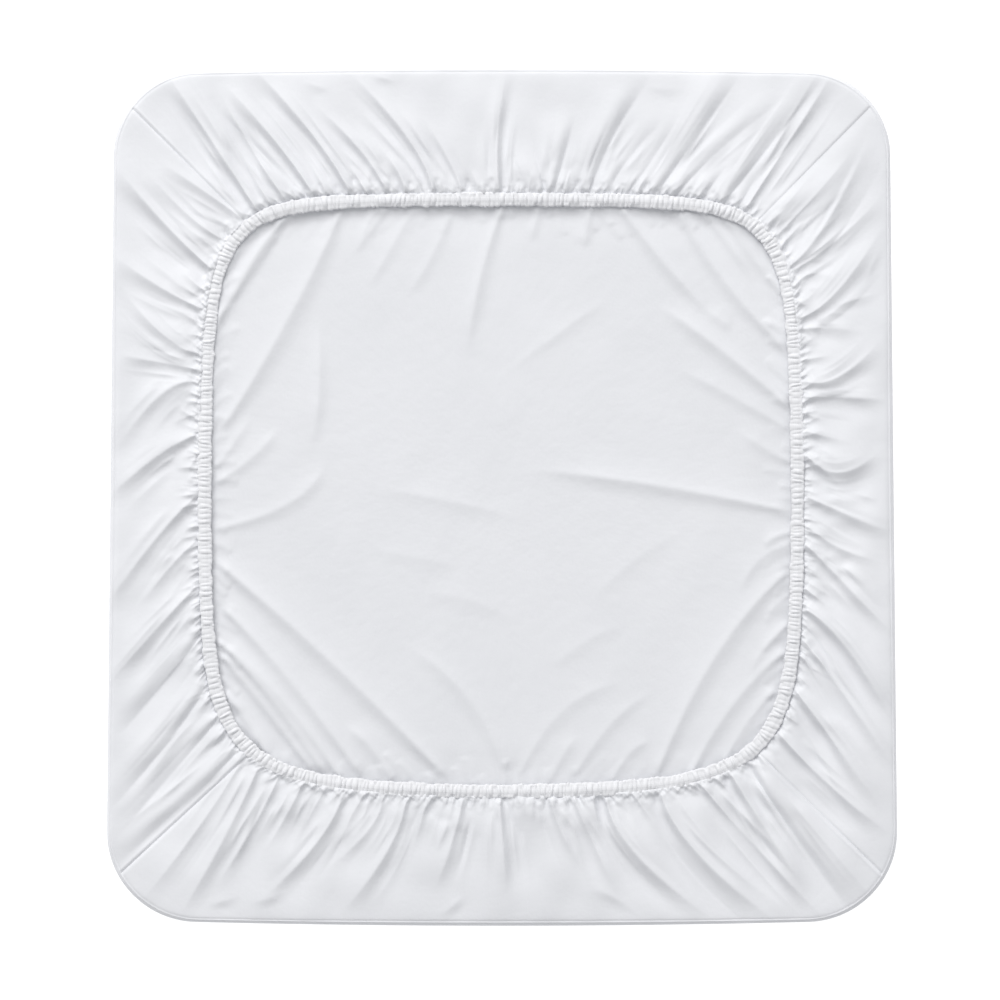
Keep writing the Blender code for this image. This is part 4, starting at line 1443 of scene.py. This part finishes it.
@dataclass
class TopPanel(Piece):
    """The top panel, face down on the floor, with the creases that show through the mouth."""

    half_x: float = 0.72  # the fine grid reaches this far
    half_y: float = 0.74
    cells: int = 276
    border: int = 14
    thick: float = 0.0020
    inset: float = 0.0013
    bed: float = 0.0025  # the folds below the panel hold it up by this much
    swelling: float = 0.0035  # how far the panel stands up inside the mouth
    swelling_wide: float = 0.100  # and over how wide a border it rises
    prop: float = 0.0060  # gathers under the band prop it up by this much on the window's side
    prop_wide: float = 0.014
    lit_over: float = 0.5  # and do so fully from this far off the middle towards the window
    apart: Point = (0.022, 0.044)  # least and most room of a small crease beside the band
    ripple: Ripple = Ripple(0.9 * MM, (
        (2.1, 1.3, 0.6), (-1.2, 2.9, 2.9), (4.7, -2.6, 5.0), (3.9, 4.4, 1.2), (-6.3, 3.7, 3.4)))

    def build(self) -> None:
        """Makes the surface: a fine square grid under the mouth and a border out to the rim."""
        step = np.linspace(-1.0, 1.0, self.cells + 1)
        x, y = np.meshgrid(step * self.half_x, step * self.half_y)
        inner = np.column_stack([x.ravel(), y.ravel()])
        index = np.arange((self.cells + 1) ** 2).reshape(self.cells + 1, -1)
        ring = np.concatenate([index[:-1, 0], index[-1, :-1], index[:0:-1, -1], index[0, :0:-1]])
        edge = self.edge_beyond(inner[ring])
        rows, last = [inner], ring
        quads = [squares_of(index).reshape(-1, 4)]
        for k in range(1, self.border + 1):
            share = k / self.border
            rows.append(inner[ring] * (1 - share) + edge * share)
            this = np.arange(len(ring)) + len(inner) + (k - 1) * len(ring)
            quads.append(np.column_stack([last, this, np.roll(this, -1), np.roll(last, -1)]))
            last = this
        flat = np.vstack(rows)
        height = self.thick + self.creases(flat[:, 0], flat[:, 1])
        spread = 1.0 - smooth((np.arange(len(flat)) - len(inner)) / len(ring) / self.border)
        height += (self.ripple.lift(flat[:, 0], flat[:, 1]) + self.bed) * spread
        self.thing = faces_object(self.name, np.column_stack([flat, height]), np.vstack(quads))

    def edge_beyond(self, spots: Array) -> Array:
        """The panel's edge in the direction of each point.

        Args:
            spots: The points, round the middle of the sheet.

        Returns:
            One point of the edge for each.
        """
        outline = RIM - self.inset * outward_normals(RIM)
        angle = np.arctan2(spots[:, 1], spots[:, 0])
        turned = np.arctan2(outline[:, 1], outline[:, 0])
        order = np.argsort(turned)
        radius = np.hypot(outline[order, 0], outline[order, 1])
        far = np.interp(angle, turned[order], radius, period=2 * math.pi)
        return np.column_stack([np.cos(angle), np.sin(angle)]) * far[:, None]

    def pillow(self, x: Array, y: Array) -> Array:
        """How far the panel stands up inside the mouth, from nothing at the band.

        Args:
            x: The points' X.
            y: Their Y.

        Returns:
            The height at each point.
        """
        line = even_points(BAND_INNER, 240)
        gap = np.full(x.shape, np.inf)
        for a, b in zip(line, np.roll(line, -1, axis=0)):
            run = b - a
            off_x, off_y = x - a[0], y - a[1]
            along = np.clip((off_x * run[0] + off_y * run[1]) / (run @ run), 0.0, 1.0)
            beside = off_x * run[1] - off_y * run[0]
            away = np.hypot(off_x - along * run[0], off_y - along * run[1])
            gap = np.where(away < np.abs(gap), away * np.sign(beside), gap)
        lit = smooth((WINDOW_SIDE[0] * x + WINDOW_SIDE[1] * y) / self.lit_over)
        prop = self.prop * np.exp(-((gap / self.prop_wide) ** 2)) * lit
        return self.swelling * smooth(gap / self.swelling_wide) + prop

    def creases(self, x: Array, y: Array) -> Array:
        """How far the panel's own rise and its creases lift it.

        Args:
            x: The points' X.
            y: Their Y.

        Returns:
            The lift at each point.
        """
        lifted = self.pillow(x, y)
        for row in PANEL_CREASES:
            high, wide = row[6:]
            crease = Crease(*three_points(row[:6]), high * MM, wide * MM)
            lifted += crease.tucked().lifts(x, y)
        for side in Side:
            for crease in self.edge_creases(side):
                lifted += crease.lifts(x, y)
        return lifted

    def edge_creases(self, side: Side) -> list[Crease]:
        """Makes the small creases of the panel beside the band, which fan out to the corners.

        Args:
            side: The side of the band that they are beside.

        Returns:
            The creases, which are lower beside the head and foot sides.
        """
        random = np.random.default_rng(SIDE_SEEDS[side] + 20)
        level, outward = side.level, side.outward
        found, at = [], -0.56
        while at < 0.57:
            reach = random.uniform(0.024, 0.085)
            lean = math.copysign(random.uniform(0.4, 1.2), at) * min(1.0, abs(at) / 0.2)
            edge = point_beside(BAND_INNER, side, at)[1 - level] + 0.006 * outward
            spots = [(at + lean * reach * u + bend, edge - outward * (reach + 0.006) * u)
                     for u, bend in ((0.0, 0.0), (0.5, random.uniform(-0.003, 0.003)), (1.0, 0.0))]
            if level == 1:
                spots = [(across, along) for along, across in spots]
            high = random.uniform(0.6, 1.6) * (1.0 if level == 1 else 0.5)
            found.append(Crease(*spots, high * MM, random.uniform(10.0, 16.0) * MM, ending=0.85))
            at += random.uniform(*self.apart)
        return found

    def declare(self) -> None:
        """Does nothing."""


@dataclass
class ElasticBand(Piece):
    """The ribbed elastic band round the mouth: a row of cross ribs between two puckered edges."""

    stations: int = 3400
    around: int = 24
    half_width: float = 0.015
    half_high: float = 0.0044
    middle_high: float = 0.0208
    tilt: float = 0.0018  # its outer edge lies this much higher than its middle
    rib: float = 0.0046  # how far the ribs stand out
    core: float = 0.60  # share of the half width that the middle ribs take
    groove: float = 0.0018  # depth of the stitch lines beside them
    groove_wide: float = 0.09  # their width and that of the step beside them, as shares of the half
    step_wide: float = 0.14
    wave: float = 0.0018  # how far the edges wander outward and inward
    slide: float = 0.0026  # how far the ribs lean along the band
    rise: float = 0.0012  # how much higher and lower the band lies from place to place
    crosswise: float = 0.6  # the ribs that run towards the window stand out by this share more
    map_wide: float = 0.06  # what the UV map calls the way once round the band's section

    def build(self) -> None:
        """Makes the ring, one line along the band after another."""
        random = np.random.default_rng(7)
        centre = even_points(MOUTH.curve(), self.stations)
        normals = outward_normals(centre)
        tangent = np.column_stack([normals[:, 1], -normals[:, 0]])
        run = run_lengths(np.vstack([centre, centre[:1]]))
        here, total = run[:-1], run[-1]
        middle, lean = self.ribs(random, here, total, 0.0070, 0.0150)
        outer, wave = self.ribs(random, here, total, 0.0095, 0.0230)
        inner, _ = self.ribs(random, here, total, 0.0070, 0.0180)
        turn_of = 2 * math.pi * np.arange(self.stations) / self.stations
        level = self.middle_high + self.rise * np.sin(11 * turn_of) * np.cos(2 * turn_of)
        turn = np.linspace(0.0, 2 * math.pi, self.around, endpoint=False)
        rows = []
        for angle in turn:
            across = np.sign(math.cos(angle)) * abs(math.cos(angle)) ** 0.85
            up = np.sign(math.sin(angle)) * abs(math.sin(angle)) ** 0.9
            share = float(smooth(np.array((abs(across) - self.core) / self.step_wide)))
            edge = outer if across > 0 else inner
            push = self.rib * (middle * (1 - share) + 0.85 * edge * share)
            push = push * (1 + (self.crosswise if up > 0 else 0.0) * np.abs(normals[:, 1]))
            dip = math.exp(-(((abs(across) - self.core) / self.groove_wide) ** 2)) * (up > 0)
            wander = (self.wave * wave + 0.5 * push) * share * np.sign(across)
            reach = across * self.half_width + wander
            height = level + up * (self.half_high + push) - self.groove * dip
            height = height + self.tilt * max(across, 0.0)
            along = self.slide * lean * across
            spot = centre + normals * reach[:, None] + tangent * along[:, None]
            rows.append(np.column_stack([spot, height]))
        runs = (np.repeat(here[None], self.around, axis=0),
                np.repeat((turn / (2 * math.pi) * self.map_wide)[:, None], self.stations, axis=1))
        self.thing = grid_object(self.name, np.stack(rows, axis=0), closed=True, runs=runs)

    @staticmethod
    def ribs(random: np.random.Generator, here: Array, total: float, least: float,
             most: float) -> tuple[Array, Array]:
        """Uneven ribs along the whole band.

        Args:
            random: Where their unevenness comes from.
            here: How far along the band each station is.
            total: The band's whole run.
            least: The least room of a rib along the band.
            most: The most.

        Returns:
            How far each station stands out, from 0 to 1, and how each rib leans, from -1 to 1.
        """
        edges = [0.0]
        while edges[-1] < total:
            edges.append(edges[-1] + random.uniform(least, most))
        edges = np.array(edges) * (total / edges[-1])
        cell = np.clip(np.searchsorted(edges, here, side="right") - 1, 0, len(edges) - 2)
        share = (here - edges[cell]) / (edges[cell + 1] - edges[cell])
        strength = random.uniform(0.25, 1.0, len(edges))[cell]
        lean = np.interp(here, (edges[:-1] + edges[1:]) / 2, random.uniform(-1.0, 1.0, len(edges) - 1))
        return strength * np.sin(math.pi * share) ** 0.5, lean

    def declare(self) -> None:
        """Does nothing."""


@dataclass
class Studio:
    """The floor, the light and the camera."""

    floor_half: float = 8.0
    floor_at: float = -0.0004  # just under the sheet
    camera_high: float = 12.0
    view_width: float = 2.345  # width of the view at the sheet
    aim: Point = (-0.0047, -0.0047)
    window_strength: float = 2.66  # watts that a square metre facing the window gets
    window_wide: float = 15.0
    window_away: float = 20.0
    window_high: float = math.radians(43.0)  # above the floor
    fill: float = 0.508

    def build(self) -> None:
        """Makes the floor and the lights, and sets the camera at the photo's viewing angle."""
        half = self.floor_half
        corners = [[(x, y, self.floor_at) for x in (-half, half)] for y in (-half, half)]
        floor = grid_object("floor", np.array(corners))
        floor.data.materials.append(PALE_FLOOR.made())
        self.light()
        self.camera()
        bpy.context.scene.view_settings.view_transform = "Standard"

    def light(self) -> None:
        """One broad window light over the head of the sheet, and a white room."""
        lamp = bpy.data.lights.new("window", "AREA")
        lamp.shape = "DISK"
        lamp.size = self.window_wide
        lamp.energy = self.window_strength * math.pi * self.window_away**2
        lamp.color = (1.0, 0.995, 0.985)
        window = bpy.data.objects.new("window", lamp)
        azimuth = math.atan2(WINDOW_SIDE[0], WINDOW_SIDE[1])
        level = self.window_away * math.cos(self.window_high)
        window.location = (level * math.sin(azimuth), level * math.cos(azimuth),
                           self.window_away * math.sin(self.window_high))
        window.rotation_euler = (-(math.pi / 2 - self.window_high), 0.0, -azimuth)
        bpy.context.scene.collection.objects.link(window)
        world = bpy.data.worlds.new("white_room")
        world.use_nodes = True
        background = world.node_tree.nodes["Background"]
        background.inputs["Color"].default_value = (0.985, 0.99, 1.0, 1.0)
        background.inputs["Strength"].default_value = self.fill
        bpy.context.scene.world = world

    def camera(self) -> None:
        """A long lens straight above the sheet, the head of the sheet up."""
        data = bpy.data.cameras.new("camera")
        data.sensor_width = 36.0
        data.lens = data.sensor_width * self.camera_high / self.view_width
        data.clip_end = 60.0
        camera = bpy.data.objects.new("camera", data)
        camera.location = (*self.aim, self.camera_high)
        bpy.context.scene.collection.objects.link(camera)
        bpy.context.scene.camera = camera


SIDE_FLATS = {Side.HEAD: (1.83, 0.30), Side.FOOT: (1.83, 0.33), Side.LEFT: (1.95, 0.24),
              Side.RIGHT: (1.95, 0.24)}


def main() -> None:
    logging.basicConfig(level=logging.INFO, format="%(name)s %(message)s")
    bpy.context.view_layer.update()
    wear = wear_group()
    cotton, elastic = COTTON.made(wear), ELASTIC.made(wear)
    pieces: list[Piece] = [
        TopPanel("top_panel_cloth", "top_panel", CLOTH_SLOT, cotton, (1.83, 2.00), "laid"),
    ]
    for side in Side:
        pieces.append(SidePanel(side.value + "_panel_cloth", "skirt_" + side.value, CLOTH_SLOT,
                                cotton, SIDE_FLATS[side], "gathered", side=side,
                                seed=SIDE_SEEDS[side],
                                first_lip=0.0 if side is Side.RIGHT else 1.0))
    pieces.append(ElasticBand("elastic_band_ribbed", "elastic_band", ELASTIC_SLOT, elastic,
                              (0.03, 5.4), "gathered"))
    for piece in pieces:
        piece.build()
        piece.dress()
        piece.report()
    Studio().build()
    for piece in pieces:
        piece.declare()
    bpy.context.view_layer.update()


if __name__ == "__main__":
    main()
